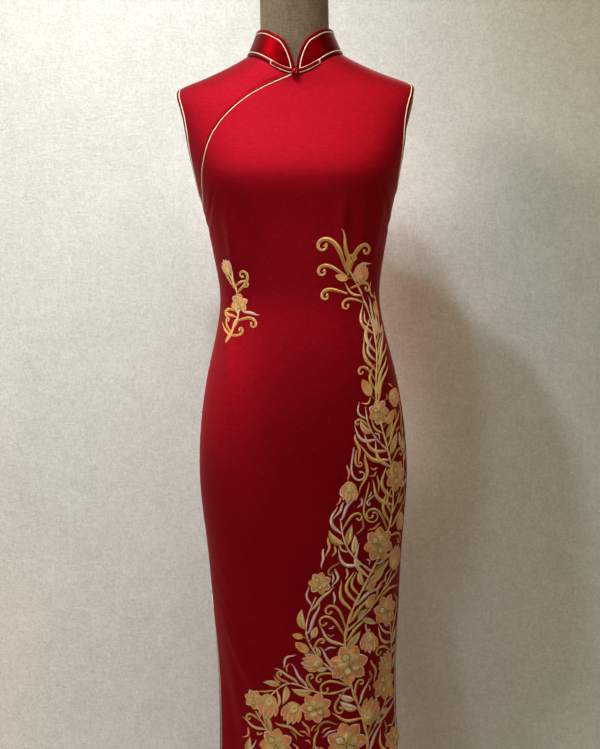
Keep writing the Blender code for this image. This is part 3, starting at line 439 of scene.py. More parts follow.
class CollarSurface(Surface):
    """The collar's outer face, read at a turn round the neck and a height up its slope."""

    def __init__(self, neck: Neck) -> None:
        """Lay the collar's base line on the dress."""
        self.neck = neck
        self.turns = np.linspace(MIDDLE_FRONT - 0.3, MIDDLE_FRONT + FULL_TURN + 0.3, 1200)
        places = neck.line(np.mod(self.turns - MIDDLE_FRONT, FULL_TURN) + MIDDLE_FRONT)
        self.base = BARE.place(places[:, 0], places[:, 1])

    def place(self, turns: Array, height: Array) -> Array:
        """Points of the collar's outer face."""
        base = np.stack([np.interp(turns, self.turns, self.base[:, k]) for k in range(3)], -1)
        depth = np.where(np.sin(turns) < 0, self.neck.top_front, self.neck.top_back)
        full = self.neck.height(turns)
        lean_x = self.neck.top_half_width * np.cos(turns) - base[..., 0]
        lean_y = depth * np.sin(turns) - base[..., 1]
        rise = np.sqrt(full ** 2 - lean_x ** 2 - lean_y ** 2)
        share = (height + self.neck.lift) / full
        return base + np.stack((lean_x * share, lean_y * share, rise * share), axis=-1)

    def turn_at(self, distance: Array) -> Array:
        """The turn at a distance along the base from the middle of the front, to the left."""
        start = int(np.searchsorted(self.turns, MIDDLE_FRONT))
        half_round = slice(start, start + len(self.turns) // 2)
        return np.interp(distance, run_length(self.base[half_round]), self.turns[half_round])

    def level(self, height: float) -> Array:
        """A path round the whole collar at one height up its slope."""
        turns = np.linspace(MIDDLE_FRONT - 0.2, MIDDLE_FRONT + FULL_TURN + 0.2, 400)
        return pairs(turns, np.full_like(turns, height))


NECK = Neck()
COLLAR = CollarSurface(NECK)


def trim_start(path: Array, fence: Array) -> Array:
    """A path cut off, or run on backwards, so that it starts on a fence.

    Args:
        path: The path's places.
        fence: The places of the line that it is to start on.

    Returns:
        The path from its first meeting with the fence.
    """
    run = np.diff(path, axis=0)[:, None]
    rail = np.diff(fence, axis=0)[None]
    cross = run[..., 0] * rail[..., 1] - run[..., 1] * rail[..., 0]
    cross = np.where(np.abs(cross) < 1e-15, np.nan, cross)
    offset = fence[None, :-1] - path[:-1, None]
    t = (offset[..., 0] * rail[..., 1] - offset[..., 1] * rail[..., 0]) / cross
    s = (offset[..., 0] * run[..., 1] - offset[..., 1] * run[..., 0]) / cross
    back = np.where(np.arange(len(path) - 1) == 0, 60.0, 0.0)[:, None]
    i, j = np.nonzero((t >= -back) & (t <= 1) & (s >= 0) & (s <= 1))
    first = min(range(len(i)), key=lambda k: (t[i[k], j[k]] < 0, i[k], abs(t[i[k], j[k]])))
    point = path[i[first]] + t[i[first], j[first]] * run[i[first], 0]
    return np.vstack((point[None], path[i[first] + 1:]))


def trim_end(path: Array, fence: Array) -> Array:
    """A path cut off, or run on, so that it ends on a fence."""
    return trim_start(path[::-1], fence)[::-1]


def patch(bottom: Array, top: Array, left: Array, right: Array, shares: Array, rises: Array,
          fade: float = 1.0) -> Array:
    """A grid of places between four paths that meet at their ends.

    Args:
        bottom: The lowest row.
        top: The highest row.
        left: The first column, from below.
        right: The last column, from below.
        shares: How far across each column lies, from 0 to 1.
        rises: How far up each row lies, from 0 to 1.
        fade: How soon the rows take over the straight run between the two sides.

    Returns:
        The places as rows of columns.
    """
    u = shares[None, :, None]
    v = rises[:, None, None]
    level = (1 - u) * left[:, None] + u * right[:, None]
    bend_low = bottom[None] - (1 - u) * bottom[0] - u * bottom[-1]
    bend_high = top[None] - (1 - u) * top[0] - u * top[-1]
    return level + bend_low * (1 - v) ** fade + bend_high * v ** fade


# ------------------------------------------------------------------ meshes
class MeshDraft:
    """Points, faces and UV places gathered for one mesh."""

    def __init__(self) -> None:
        """Start an empty draft."""
        self.points: list[Array] = []
        self.faces: list[list[int]] = []
        self.slots: list[int] = []
        self.uvs: dict[str, list[Array]] = {"cloth": [], "tone": []}
        self.count = 0

    def add_points(self, points: Array) -> int:
        """Add points and return the number of the first."""
        start = self.count
        self.points.append(np.asarray(points, dtype=float).reshape(-1, 3))
        self.count += len(self.points[-1])
        return start

    def add_faces(self, faces: Array, uv: Array, tone: Array, slot: int) -> None:
        """Add faces of equal size.

        Args:
            faces: Point numbers, one row a face.
            uv: The faces' corners in the "cloth" map, in metres of cloth.
            tone: The faces' corners in the "tone" map: shade along the piece and its own number.
            slot: Material slot.
        """
        self.faces.extend(faces.tolist())
        self.slots.extend([slot] * len(faces))
        self.uvs["cloth"].append(uv.reshape(-1, 2))
        self.uvs["tone"].append(tone.reshape(-1, 2))

    def grid(self, points: Array, uv: Array, tone: Optional[Array] = None,
             ring: bool = False, loop: bool = False, slot: int = 0, start: int = -1) -> int:
        """Add a grid of quads.

        Args:
            points: Rows of columns of points.
            uv: Places in the "cloth" map, with one more column on a ring, and row on a loop.
            tone: Places in the "tone" map, or none for zeros.
            ring: Whether the columns close into a ring.
            loop: Whether the rows close into a loop.
            slot: Material slot.
            start: Number of the grid's first point, if its points are there already.

        Returns:
            The number of the grid's first point.
        """
        rows, columns = points.shape[:2]
        first = self.add_points(points) if start < 0 else start
        tone = np.zeros_like(uv) if tone is None else tone
        i, j = np.meshgrid(np.arange(rows - 1 + loop), np.arange(columns - 1 + ring),
                           indexing="ij")
        i, j = i.ravel(), j.ravel()
        corners = ((i, j), (i, j + 1), (i + 1, j + 1), (i + 1, j))
        faces = np.stack([first + (a % rows) * columns + b % columns for a, b in corners], axis=1)
        self.add_faces(faces, np.stack([uv[a, b] for a, b in corners], axis=1),
                       np.stack([tone[a, b] for a, b in corners], axis=1), slot)
        return first

    def tube(self, points: Array, uv: Array, tone: Optional[Array] = None,
             loop: bool = False, start: int = -1) -> None:
        """Add a grid whose columns close into rings, with a face on each end if it has ends."""
        first = self.grid(points, uv, tone, ring=True, loop=loop, start=start)
        rows, columns = points.shape[:2]
        flat = np.zeros((1, columns, 2))
        for row in () if loop else (0, rows - 1):
            ring = first + row * columns + np.arange(columns)
            self.add_faces(ring[None], flat, flat, 0)

    def finish(self, name: str, finishes: Sequence["Finish"], crease_angle: float = 60,
               slot: Optional[str] = None, node: Optional[str] = None) -> bpy.types.Object:
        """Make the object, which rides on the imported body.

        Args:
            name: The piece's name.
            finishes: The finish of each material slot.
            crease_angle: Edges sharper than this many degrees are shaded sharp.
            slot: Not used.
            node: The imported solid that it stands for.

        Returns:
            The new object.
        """
        mesh = bpy.data.meshes.new(name)
        mesh.from_pydata(np.concatenate(self.points).tolist(), [], self.faces)
        mesh.polygons.foreach_set("material_index", self.slots)
        for label, parts in self.uvs.items():
            layer = mesh.uv_layers.new(name=label)
            layer.data.foreach_set("uv", np.concatenate(parts).astype(np.float32).ravel())
        shape = bmesh.new()
        shape.from_mesh(mesh)
        bmesh.ops.recalc_face_normals(shape, faces=shape.faces)
        shape.to_mesh(mesh)
        shape.free()
        mesh.shade_smooth()
        mesh.set_sharp_from_angle(angle=math.radians(crease_angle))
        for finish in finishes:
            mesh.materials.append(finish.material())
        made = bpy.data.objects.new(name, mesh)
        bpy.context.scene.collection.objects.link(made)
        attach(made, BODY)
        if node:
            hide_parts(node)
        LOG.info("%s: %d triangles", name, sum(len(face) - 2 for face in self.faces))
        return made


def grid_run(points: Array) -> Array:
    """Distance along each row of a grid of points from the row's start."""
    steps = np.linalg.norm(np.diff(points, axis=1), axis=2)
    return np.concatenate((np.zeros((len(points), 1)), np.cumsum(steps, axis=1)), axis=1)


def profile_ring(width: float, thickness: float, squareness: float, count: int) -> Array:
    """A rounded oblong in section: across from 0 to the width, and out from its middle."""
    c, s = np.cos(round_turns(count)), np.sin(round_turns(count))
    reach = (np.abs(c) ** squareness + np.abs(s) ** squareness) ** (-1 / squareness)
    return pairs(width / 2 * (1 + c * reach), thickness / 2 * s * reach)


def swept(draft: MeshDraft, surface: Surface, path: Array, profile: Array, start: float,
          out: float, closed: bool = False, grow: Union[float, Array] = 1.0,
          fit: Optional[Fit] = None, waver: float = 0.0) -> None:
    """Sweep a closed section along a path that lies in a surface.

    Args:
        draft: The mesh that takes it.
        surface: The surface that it lies on.
        path: The edge that it follows.
        profile: The section, as places across and out.
        start: How far left of the path the section starts.
        out: How far its middle stands over the surface.
        closed: Whether the path is a ring.
        grow: Share of its full width at each place of the path.
        fit: Trims a shifted path to length.
        waver: How far the section wavers out and in along its length.
    """
    columns = []
    for across, raised in profile:
        moved = surface.shift(path, (start + across) * grow, closed)
        point, normal, _, _ = surface.lay(fit(moved) if fit else moved)
        if not columns:
            length = run_length(np.vstack((point, point[:1])) if closed else point)
            wave = waver * (np.sin(length / 0.0031) + 0.6 * np.sin(length / 0.0127 + 1))
        columns.append(point + (out + raised + wave[:len(point), None]) * normal)
    rows = len(point) + closed
    uv = np.empty((rows, len(profile) + 1, 2))
    uv[..., 0] = run_length(np.vstack((profile, profile[:1])))[None]
    uv[..., 1] = length[:rows, None]
    draft.tube(np.stack(columns, axis=1), uv, loop=closed)


@dataclass
class ClothShell:
    """A panel of cloth as a thin closed shell: its face, its lining and the turned edge between."""

    name: str
    surface: Surface            # which its face lies on
    places: Array               # rows of columns of places in the surface
    sink_rows: tuple[bool, bool] = (False, True)   # whether the lowest and highest row are seams
    wall: float = 0.0011        # satin with its backing and lining
    sink: float = 0.00045       # how far a seam's edge turns in
    reach: float = 0.0042       # and over what distance

    def build(self, finishes: Sequence["Finish"], node: str) -> bpy.types.Object:
        """Make the shell.

        Args:
            finishes: The face's and the lining's finish.
            node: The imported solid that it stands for.

        Returns:
            The piece.
        """
        point, normal, _, _ = self.surface.lay(self.places)
        rows, columns = point.shape[:2]
        across = grid_run(point)
        upward = grid_run(point.transpose(1, 0, 2)).T
        edge = np.minimum(across, across[:, -1:] - across)
        if self.sink_rows[0]:
            edge = np.minimum(edge, upward)
        if self.sink_rows[1]:
            edge = np.minimum(edge, upward[-1:] - upward)
        share = np.clip(1 - edge / self.reach, 0, 1) ** 2
        near = np.exp(-(edge / 0.009) ** 2)
        pucker = 0.00011 * near * (np.sin(point[..., 2] / 0.0021)
                                   + np.sin(point[..., 2] / 0.0034 + point[..., 0] * 40))
        face = point + (pucker - self.sink * share)[..., None] * normal
        back = point - (self.wall + 0.3 * self.sink * share)[..., None] * normal
        uv = np.stack((across - across[:, columns // 2][:, None], point[..., 2]), axis=2)
        draft = MeshDraft()
        outer = draft.grid(face, uv, slot=0)
        inner = draft.grid(back, uv, slot=1)
        border = np.concatenate((np.arange(columns), np.arange(2, rows) * columns - 1,
                                 rows * columns - 1 - np.arange(columns),
                                 np.arange(rows - 2, 0, -1) * columns))
        ahead = np.roll(border, -1)
        faces = np.stack((outer + border, outer + ahead, inner + ahead, inner + border), axis=1)
        flat = uv.reshape(-1, 2)[np.stack((border, ahead, ahead, border), axis=1)]
        draft.add_faces(faces, flat, np.zeros_like(flat), 0)
        return draft.finish(self.name, finishes, slot="satin", node=node)


# ------------------------------------------------------------------ pattern
def edged_shares(count: int, width: float) -> Array:
    """Columns' shares across a panel: even, with a few close ones beside the two seams."""
    fine = np.array((0.0, 0.0007, 0.0016, 0.0028, 0.0044)) / width
    middle = np.linspace(fine[-1], 1 - fine[-1], count - 7)
    return np.concatenate((fine[:-1], middle, (1 - fine[:-1])[::-1]))


@dataclass
class Pattern:
    """The lines along which the dress is cut and bound, and the cloth between them."""

    yoke_rows: int = 64                 # between the underarm and the shoulder
    shoulder_crowding: float = 1.45     # how much closer they lie where the shoulder turns over
    body_step: float = 0.0048
    slit_step: float = 0.0055
    front_columns: int = 116
    back_columns: int = 104
    under_columns: int = 44
    armhole_depth: dict = field(default_factory=lambda: {
        (1, -1): 0.0540, (1, 1): 0.0480, (-1, -1): 0.0500, (-1, 1): 0.0540})
    underarm_z: float = 1.2035
    shoulder_tip_z: float = 1.3672
    opening_side_z: float = 1.176
    slit_taper: float = 0.020
    slit_tip_share: float = 0.12
    slit_inset: dict = field(default_factory=lambda: {Face.FRONT: 0.0360, Face.BACK: 0.0370})
    slit_inset_power: float = 0.5
    hem_corner: float = 0.009
    neck_clearance: float = 0.0009
    opening: tuple = ((0.0010, 1.3885), (-0.0290, 1.3757), (-0.0600, 1.3612), (-0.0902, 1.3410),
                      (-0.1161, 1.3160), (-0.1348, 1.2870), (-0.1452, 1.2540), (-0.1483, 1.2220),
                      (-0.1484, 1.1960))

    def __post_init__(self) -> None:
        """Work out the rises of the yoke's rows and the neck ring."""
        even = (1 - np.cos(np.linspace(0, math.pi, self.yoke_rows + 1))) / 2
        self.rises = 1 - (1 - even) ** self.shoulder_crowding
        turns = np.linspace(MIDDLE_FRONT, MIDDLE_FRONT + FULL_TURN, 361)
        ring = DRESS.shift(NECK.line(turns), -self.neck_clearance)
        front_left = ring[ring[:, 0] < 0]
        front_right = ring[ring[:, 0] > math.pi] - np.array((FULL_TURN, 0))
        self.front_neck = np.vstack((front_right, front_left[1:]))
        self.back_neck = ring[(ring[:, 0] > 0) & (ring[:, 0] < math.pi)]
        order = np.argsort(ring[:, 0])
        self.side_neck_z = float(np.interp(0.0, ring[order, 0], ring[order, 1]))

    def panel_offset(self) -> float:
        """Distance from a bound edge to the panel, which turns in under the piping."""
        return BINDING_WIDTH + SEAM_GAP + UNDER_PIPING * PIPING_WIDTH

    def armhole(self, side: int) -> Array:
        """The armhole's bound edge as a ring.

        Args:
            side: 1 for the wearer's left, -1 for the right.

        Returns:
            Places down one arc from the shoulder and up the other.
        """
        drop = 1 - self.rises[::-1]
        z = self.shoulder_tip_z + (self.underarm_z - self.shoulder_tip_z) * drop
        power = np.where(drop < 0.5, 2.0, 3.2)
        swell = np.sqrt(np.maximum(1 - np.abs(1 - 2 * drop) ** power, 0))
        _, front, back, middle, square_front, square_back = BARE.outline.at(z)
        arcs = {}
        for face, depth, square in ((-1, middle - front, square_front),
                                    (1, back - middle, square_back)):
            share = self.armhole_depth[side, face] * swell / depth
            angle = face * np.arctan2(share, (1 - share ** square) ** (1 / square))
            arcs[face] = pairs(angle if side > 0 else face * math.pi - angle, z)
        if side > 0:
            return np.vstack((arcs[1], arcs[-1][-2:0:-1]))
        back_arc = arcs[1] - np.array((FULL_TURN, 0))
        return np.vstack((arcs[-1], back_arc[-2:0:-1]))

    def armhole_sides(self) -> dict[str, Array]:
        """The four borders of the panels along the armholes, from the shoulder down."""
        split = self.yoke_rows
        borders = {}
        for hole, down, up in ((1, ("left_back", 0, 0), ("left_front", 0, 0)),
                               (-1, ("right_front", -math.pi, 0),
                                ("right_back", math.pi, FULL_TURN))):
            ring = DRESS.shift(self.armhole(hole), self.panel_offset(), closed=True)
            arcs = (ring[:split + 1], np.vstack((ring[split:], ring[:1]))[::-1])
            for side, arc, (key, angle, wrap) in zip((1, -1), arcs, (down, up)):
                arc = arc + np.array((wrap, 0))
                arc[[0, -1]] = DRESS.seam(angle, side, arc[[0, -1], 1])
                borders[key] = arc
        return borders

    def opening_edge(self) -> Array:
        """The curved opening's bound edge, from the collar to the side seam."""
        table = np.array(self.opening)
        half, _, _, _, square, _ = BARE.outline.at(table[:, 1])
        across = np.clip(table[:, 0] / half, -1, 1)
        angle = np.arctan2(-(1 - np.abs(across) ** square) ** (1 / square), across)
        knots = np.vstack((pairs(angle, table[:, 1]), (-math.pi, self.opening_side_z)))
        count = len(knots)
        return smooth_line(knots, np.arange(count, dtype=float), np.linspace(0, count - 1, 110))

    def between_seams(self, path: Array) -> Array:
        """A line beside the opening, cut off at the collar and the side seam."""
        fence = DRESS.seam(-math.pi, 1, np.linspace(1.05, 1.32, 60))
        return trim_end(trim_start(path, self.front_neck), fence)

    def panel_edge(self, offset: float) -> Array:
        """A panel's edge along the opening at an offset, with a place for each row."""
        path = self.between_seams(DRESS.shift(self.opening_edge(), offset))
        return DRESS.resample(path, self.yoke_rows, 1 - self.rises[::-1])

    def slit_edge(self, start_angle: float, side: int, inset: float, step: float) -> Array:
        """A slit's bound edge from the side seam's end down to the hem."""
        z = np.concatenate((np.arange(SLIT_TOP_Z, HEM_Z + self.hem_corner, -step), (HEM_Z,)))
        line = DRESS.seam(start_angle, side, z)
        down = np.maximum(SLIT_TOP_Z - z, 0) / (SLIT_TOP_Z - HEM_Z)
        line[:, 0] += side * inset * down ** self.slit_inset_power / DRESS.stretch(line)
        return line

    def skirt_edge(self, face: Face) -> tuple[Array, Array]:
        """One panel's bound edge, and its trims' share of their full width along it.

        Args:
            face: The front or the back.

        Returns:
            Places down one slit, along the hem and up the other slit, and the shares.
        """
        ends = (-math.pi, 0.0) if face is Face.FRONT else (0.0, math.pi)
        inset = self.slit_inset[face]
        first = self.slit_edge(ends[0], 1, inset, 0.003)
        last = self.slit_edge(ends[1], -1, inset, 0.003)[::-1]
        corner = self.hem_corner / 0.1
        hem_angles = np.linspace(first[-1, 0] + corner, last[0, 0] - corner, 110)
        path = np.vstack((first, pairs(hem_angles, np.full_like(hem_angles, HEM_Z)), last))
        grow = np.clip((SLIT_TOP_Z - path[:, 1]) / self.slit_taper, self.slit_tip_share, 1)
        return path, grow

    def side_border(self, start_z: float, angle: float, side: int, inset: float) -> Array:
        """A panel's border from below the armhole down to the hem, inside its trims."""
        body_z = np.linspace(start_z, SLIT_TOP_Z, round((start_z - SLIT_TOP_Z) / self.body_step))
        low_z = HEM_Z + self.panel_offset()
        slit_z = np.linspace(SLIT_TOP_Z, low_z, round((SLIT_TOP_Z - low_z) / self.slit_step))[1:]
        border = DRESS.seam(angle, side, np.concatenate((body_z, slit_z)))
        below = np.maximum(SLIT_TOP_Z - border[:, 1], 0)
        down = below / (SLIT_TOP_Z - HEM_Z)
        grow = np.clip(below / self.slit_taper, self.slit_tip_share, 1)
        grow = np.where(border[:, 1] > SLIT_TOP_Z + self.slit_taper / 2, 0, grow)
        inward = inset * down ** self.slit_inset_power + self.panel_offset() * grow
        border[:, 0] += side * inward / DRESS.stretch(border)
        return border

    def shoulder(self, angle: float, side: int, tip_z: float, shares: Array) -> Array:
        """Places along a shoulder seam from the armhole up to the collar."""
        line = DRESS.seam(angle, side, np.linspace(tip_z, self.side_neck_z, 60))
        return DRESS.resample(line, len(shares) - 1, shares)

    def panel(self, top: Array, left: Array, right: Array, shares: Array, face: Face,
              start: float) -> Array:
        """A main panel from the hem to the neckline, as rows of columns of places.

        Args:
            top: Its highest row.
            left: Its yoke's first column, from below.
            right: Its yoke's last column, from below.
            shares: How far across each column lies.
            face: The front or the back.
            start: Angle of its first side seam.

        Returns:
            The places.
        """
        u = shares[:, None]
        bottom = (1 - u) * left[0] + u * right[0]
        yoke = patch(bottom, top, left, right, shares, self.rises)
        inset = self.slit_inset[face]
        borders = (self.side_border(left[0, 1], start, 1, inset),
                   self.side_border(right[0, 1], start + math.pi, -1, inset))
        count = max(len(border) for border in borders)
        first, last = (border if len(border) == count else read_pairs(
            np.linspace(0, 1, count), np.linspace(0, 1, len(border)), border)
            for border in borders)
        u = shares[None, :, None]
        body = ((1 - u) * first[:, None] + u * last[:, None])[::-1]
        return np.concatenate((body, yoke[1:]))

    def front(self) -> Array:
        """The main front from the hem to the neckline, as rows of columns of places."""
        arms = self.armhole_sides()
        edge = self.panel_edge(self.panel_offset())
        shares = edged_shares(self.front_columns, 0.42)
        corner = int(np.searchsorted(shares, 12 / 26))
        neck_part = self.front_neck[self.front_neck[:, 0] > edge[0, 0]]
        shoulder = self.shoulder(0, -1, arms["left_front"][0, 1],
                                 (1 - shares[corner:][::-1]) / (1 - shares[corner]))
        neck_part = np.vstack((edge[:1], neck_part, shoulder[-1:]))
        neck_part = DRESS.resample(neck_part, corner, shares[:corner + 1] / shares[corner])
        top = np.vstack((neck_part, shoulder[::-1][1:]))
        return self.panel(top, edge[::-1], arms["left_front"][::-1], shares, FRONT, -math.pi)

    def front_under(self) -> Array:
        """The small front piece beyond the opening, as rows of columns of places."""
        arms = self.armhole_sides()
        edge = self.panel_edge(-SEAM_GAP)
        shares = np.linspace(0, 1, self.under_columns + 1)
        corner = round(self.under_columns * 6 / 11)
        shoulder = self.shoulder(-math.pi, 1, arms["right_front"][0, 1],
                                 np.linspace(0, 1, corner + 1))
        neck_part = self.front_neck[self.front_neck[:, 0] < edge[0, 0]]
        neck_part = np.vstack((shoulder[-1:], neck_part, edge[:1]))
        neck_part = DRESS.resample(neck_part, self.under_columns - corner)
        top = np.vstack((shoulder, neck_part[1:]))
        left = arms["right_front"][::-1]
        right = edge[::-1]
        bottom = DRESS.seam(-math.pi, 1, np.linspace(left[0, 1], right[0, 1], len(top)))
        return patch(bottom, top, left, right, shares, self.rises, fade=4.0)

    def back(self) -> Array:
        """The back, cut in one piece, as rows of columns of places."""
        arms = self.armhole_sides()
        shares = edged_shares(self.back_columns, 0.44)
        low = int(np.searchsorted(shares, 7 / 22))
        high = len(shares) - 1 - low
        side_shares = shares[:low + 1] / shares[low]
        first = self.shoulder(0, 1, arms["left_back"][0, 1], side_shares)
        last = self.shoulder(math.pi, -1, arms["right_back"][0, 1], side_shares)
        neck_part = np.vstack((first[-1:], self.back_neck, last[-1:]))
        middle = (shares[low:high + 1] - shares[low]) / (shares[high] - shares[low])
        neck_part = DRESS.resample(neck_part, high - low, middle)
        top = np.vstack((first, neck_part[1:], last[::-1][1:]))
        return self.panel(top, arms["left_back"][::-1], arms["right_back"][::-1], shares, BACK,
                          0.0)


# ------------------------------------------------------------------ trims
@dataclass
class Trims:
    """The satin binding round an edge and the gold piping inside it."""

    binding: "Finish"
    cord: "Finish"
    thickness: float = 0.0024
    squareness: float = 2.6
    binding_out: float = -0.0005
    cord_radius: float = 0.00078
    cord_out: float = 0.00022
    waver: float = 0.00007

    def edge(self, name: str, surface: Surface, path: Array, closed: bool = False,
             grow: Union[float, Array] = 1.0, width: float = BINDING_WIDTH,
             fits: tuple[Optional[Fit], Optional[Fit]] = (None, None)) -> list:
        """Bind one edge.

        Args:
            name: The edge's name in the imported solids.
            surface: The surface that it lies on.
            path: The bound edge.
            closed: Whether it is a ring.
            grow: Share of the full width at each place of the path.
            width: Width of the binding.
            fits: What trims the binding's lines and the piping's lines to length.

        Returns:
            The binding and the piping.
        """
        return [self.band(name, surface, path, width, closed, grow, fits[0]),
                self.piping(name, surface, path, width + SEAM_GAP + PIPING_WIDTH / 2, closed,
                            grow, fits[1])]

    def band(self, name: str, surface: Surface, path: Array, width: float,
             closed: bool = False, grow: Union[float, Array] = 1.0,
             fit: Optional[Fit] = None) -> bpy.types.Object:
        """The folded satin band beside a path."""
        draft = MeshDraft()
        ring = profile_ring(width, self.thickness, self.squareness, 16)
        swept(draft, surface, path, ring, 0.0, self.binding_out, closed, grow, fit, self.waver)
        return draft.finish("edge_binding_" + name, (self.binding,), 50, "satin_trim",
                            "binding_" + name)

    def piping(self, name: str, surface: Surface, path: Array, middle: float,
               closed: bool = False, grow: Union[float, Array] = 1.0,
               fit: Optional[Fit] = None) -> bpy.types.Object:
        """The round gold cord at a distance from a path."""
        draft = MeshDraft()
        size = 2 * self.cord_radius
        swept(draft, surface, path, profile_ring(size, size, 2, 9), middle - self.cord_radius,
              self.cord_out, closed, grow, fit)
        return draft.finish("gold_piping_" + name, (self.cord,), 70, "gold_piping",
                            "piping_" + name)


@dataclass
class Collar:
    """The stand-up collar: its panel, its bound edge and the binding and piping at its base."""

    trims: Trims
    satin: "Finish"
    lining: "Finish"
    corner: float = 0.031
    binding_width: float = 0.0052
    corner_segments: int = 26
    top_segments: int = 170
    end_rows: int = 20

    def outline(self) -> Array:
        """The bound edge: up one rounded front corner, round the top and down the other."""
        bend = np.linspace(0, math.pi / 2, self.corner_segments + 1)
        turns = COLLAR.turn_at(SEAM_GAP + self.corner * (1 - np.cos(bend)))
        heights = NECK.height(turns) * np.sin(bend)
        round_top = np.linspace(turns[-1], math.pi - turns[-1], self.top_segments + 1)[1:-1]
        return np.vstack((pairs(turns, heights), pairs(round_top, NECK.height(round_top)),
                          pairs(math.pi - turns, heights)[::-1]))[::-1]

    def fit_to(self, height: float) -> Fit:
        """What cuts a line off at one height and paces it out again."""
        level = COLLAR.level(height)
        return lambda path: COLLAR.resample(trim_end(trim_start(path, level), level), 230)

    def strip(self, height: float, outline: Array, inset: float) -> Array:
        """A line round the collar at one height, that ends inside its front edges by an inset."""
        run_down = np.array(((0, 2 * self.binding_width),))
        border = COLLAR.shift(outline, inset)
        border = np.vstack((border[:1] - run_down, border, border[-1:] - run_down))[::-1]
        path = COLLAR.level(height)
        reach = np.minimum(path[:, 0] - MIDDLE_FRONT, MIDDLE_FRONT + FULL_TURN - path[:, 0])
        path = path[reach > 0.02]
        return COLLAR.resample(trim_end(trim_start(path, border), border), 200)

    def build(self) -> bpy.types.Object:
        outline = self.outline()
        width = self.binding_width
        middle = width + SEAM_GAP + PIPING_WIDTH / 2
        panel_low = width + SEAM_GAP + UNDER_PIPING * PIPING_WIDTH
        pieces = self.trims.edge("collar", COLLAR, outline, width=width,
                                 fits=(self.fit_to(0.0), self.fit_to(width)))

        pieces.append(self.trims.band("collar_base", COLLAR,
                                      self.strip(0.0, outline, width - 0.0004), width))
        pieces.append(self.trims.piping("collar_base", COLLAR,
                                        self.strip(middle, outline, middle), 0.0))
        level = COLLAR.level(panel_low)
        edge = COLLAR.shift(outline, panel_low)
        edge = trim_end(trim_start(edge, level), level)[::-1]
        left = edge[:self.end_rows + 1]
        right = edge[::-1][:self.end_rows + 1]
        top = edge[self.end_rows:-self.end_rows]
        inside = level[(level[:, 0] > left[0, 0]) & (level[:, 0] < right[0, 0])]
        bottom = COLLAR.resample(np.vstack((left[:1], inside, right[:1])), len(top) - 1)
        shares = np.linspace(0, 1, len(top))
        rises = (left[:, 1] - left[0, 1]) / (left[-1, 1] - left[0, 1])
        shell = ClothShell("collar_satin_painted_shade", COLLAR, patch(bottom, top, left, right, shares, rises),
                           sink_rows=(True, True), wall=0.0012, sink=0.0005, reach=0.0030)
        made = shell.build((self.satin, self.lining), "collar")
        return made


def tube(draft: MeshDraft, path: Array, radius: float, sides: int = 9,
         closed: bool = False) -> None:
    """A round tube along points in space.

    Args:
        draft: The mesh that takes it.
        path: Its middle line.
        radius: Its radius.
        sides: Points round it.
        closed: Whether the path is a ring.
    """
    count = len(path)
    if closed:
        ahead = unit(np.roll(path, -1, axis=0) - np.roll(path, 1, axis=0))
    else:
        ahead = tangents(path)
    side = np.zeros_like(path)
    side[0] = unit(np.cross(ahead[0], (0.31, 0.23, 0.92)))
    for i in range(1, count):
        moved = side[i - 1] - ahead[i] * np.dot(side[i - 1], ahead[i])
        side[i] = moved / np.linalg.norm(moved)
    if closed:
        last = side[-1] - ahead[0] * np.dot(side[-1], ahead[0])
        last /= np.linalg.norm(last)
        turn = math.atan2(float(np.dot(np.cross(last, side[0]), ahead[0])),
                          float(np.dot(last, side[0])))
        undo = np.linspace(0, turn, count, endpoint=False)[:, None]
        side = side * np.cos(undo) + np.cross(ahead, side) * np.sin(undo)
    over = np.cross(ahead, side)
    around = round_turns(sides)[None, :, None]
    points = path[:, None] + radius * (np.cos(around) * side[:, None]
                                       + np.sin(around) * over[:, None])
    length = run_length(np.vstack((path, path[:1])))
    uv = np.empty((count + closed, sides + 1, 2))
    uv[..., 0] = np.linspace(0, FULL_TURN, sides + 1)[None] * radius
    uv[..., 1] = length[:count + closed, None]
    draft.tube(points, uv, loop=closed)


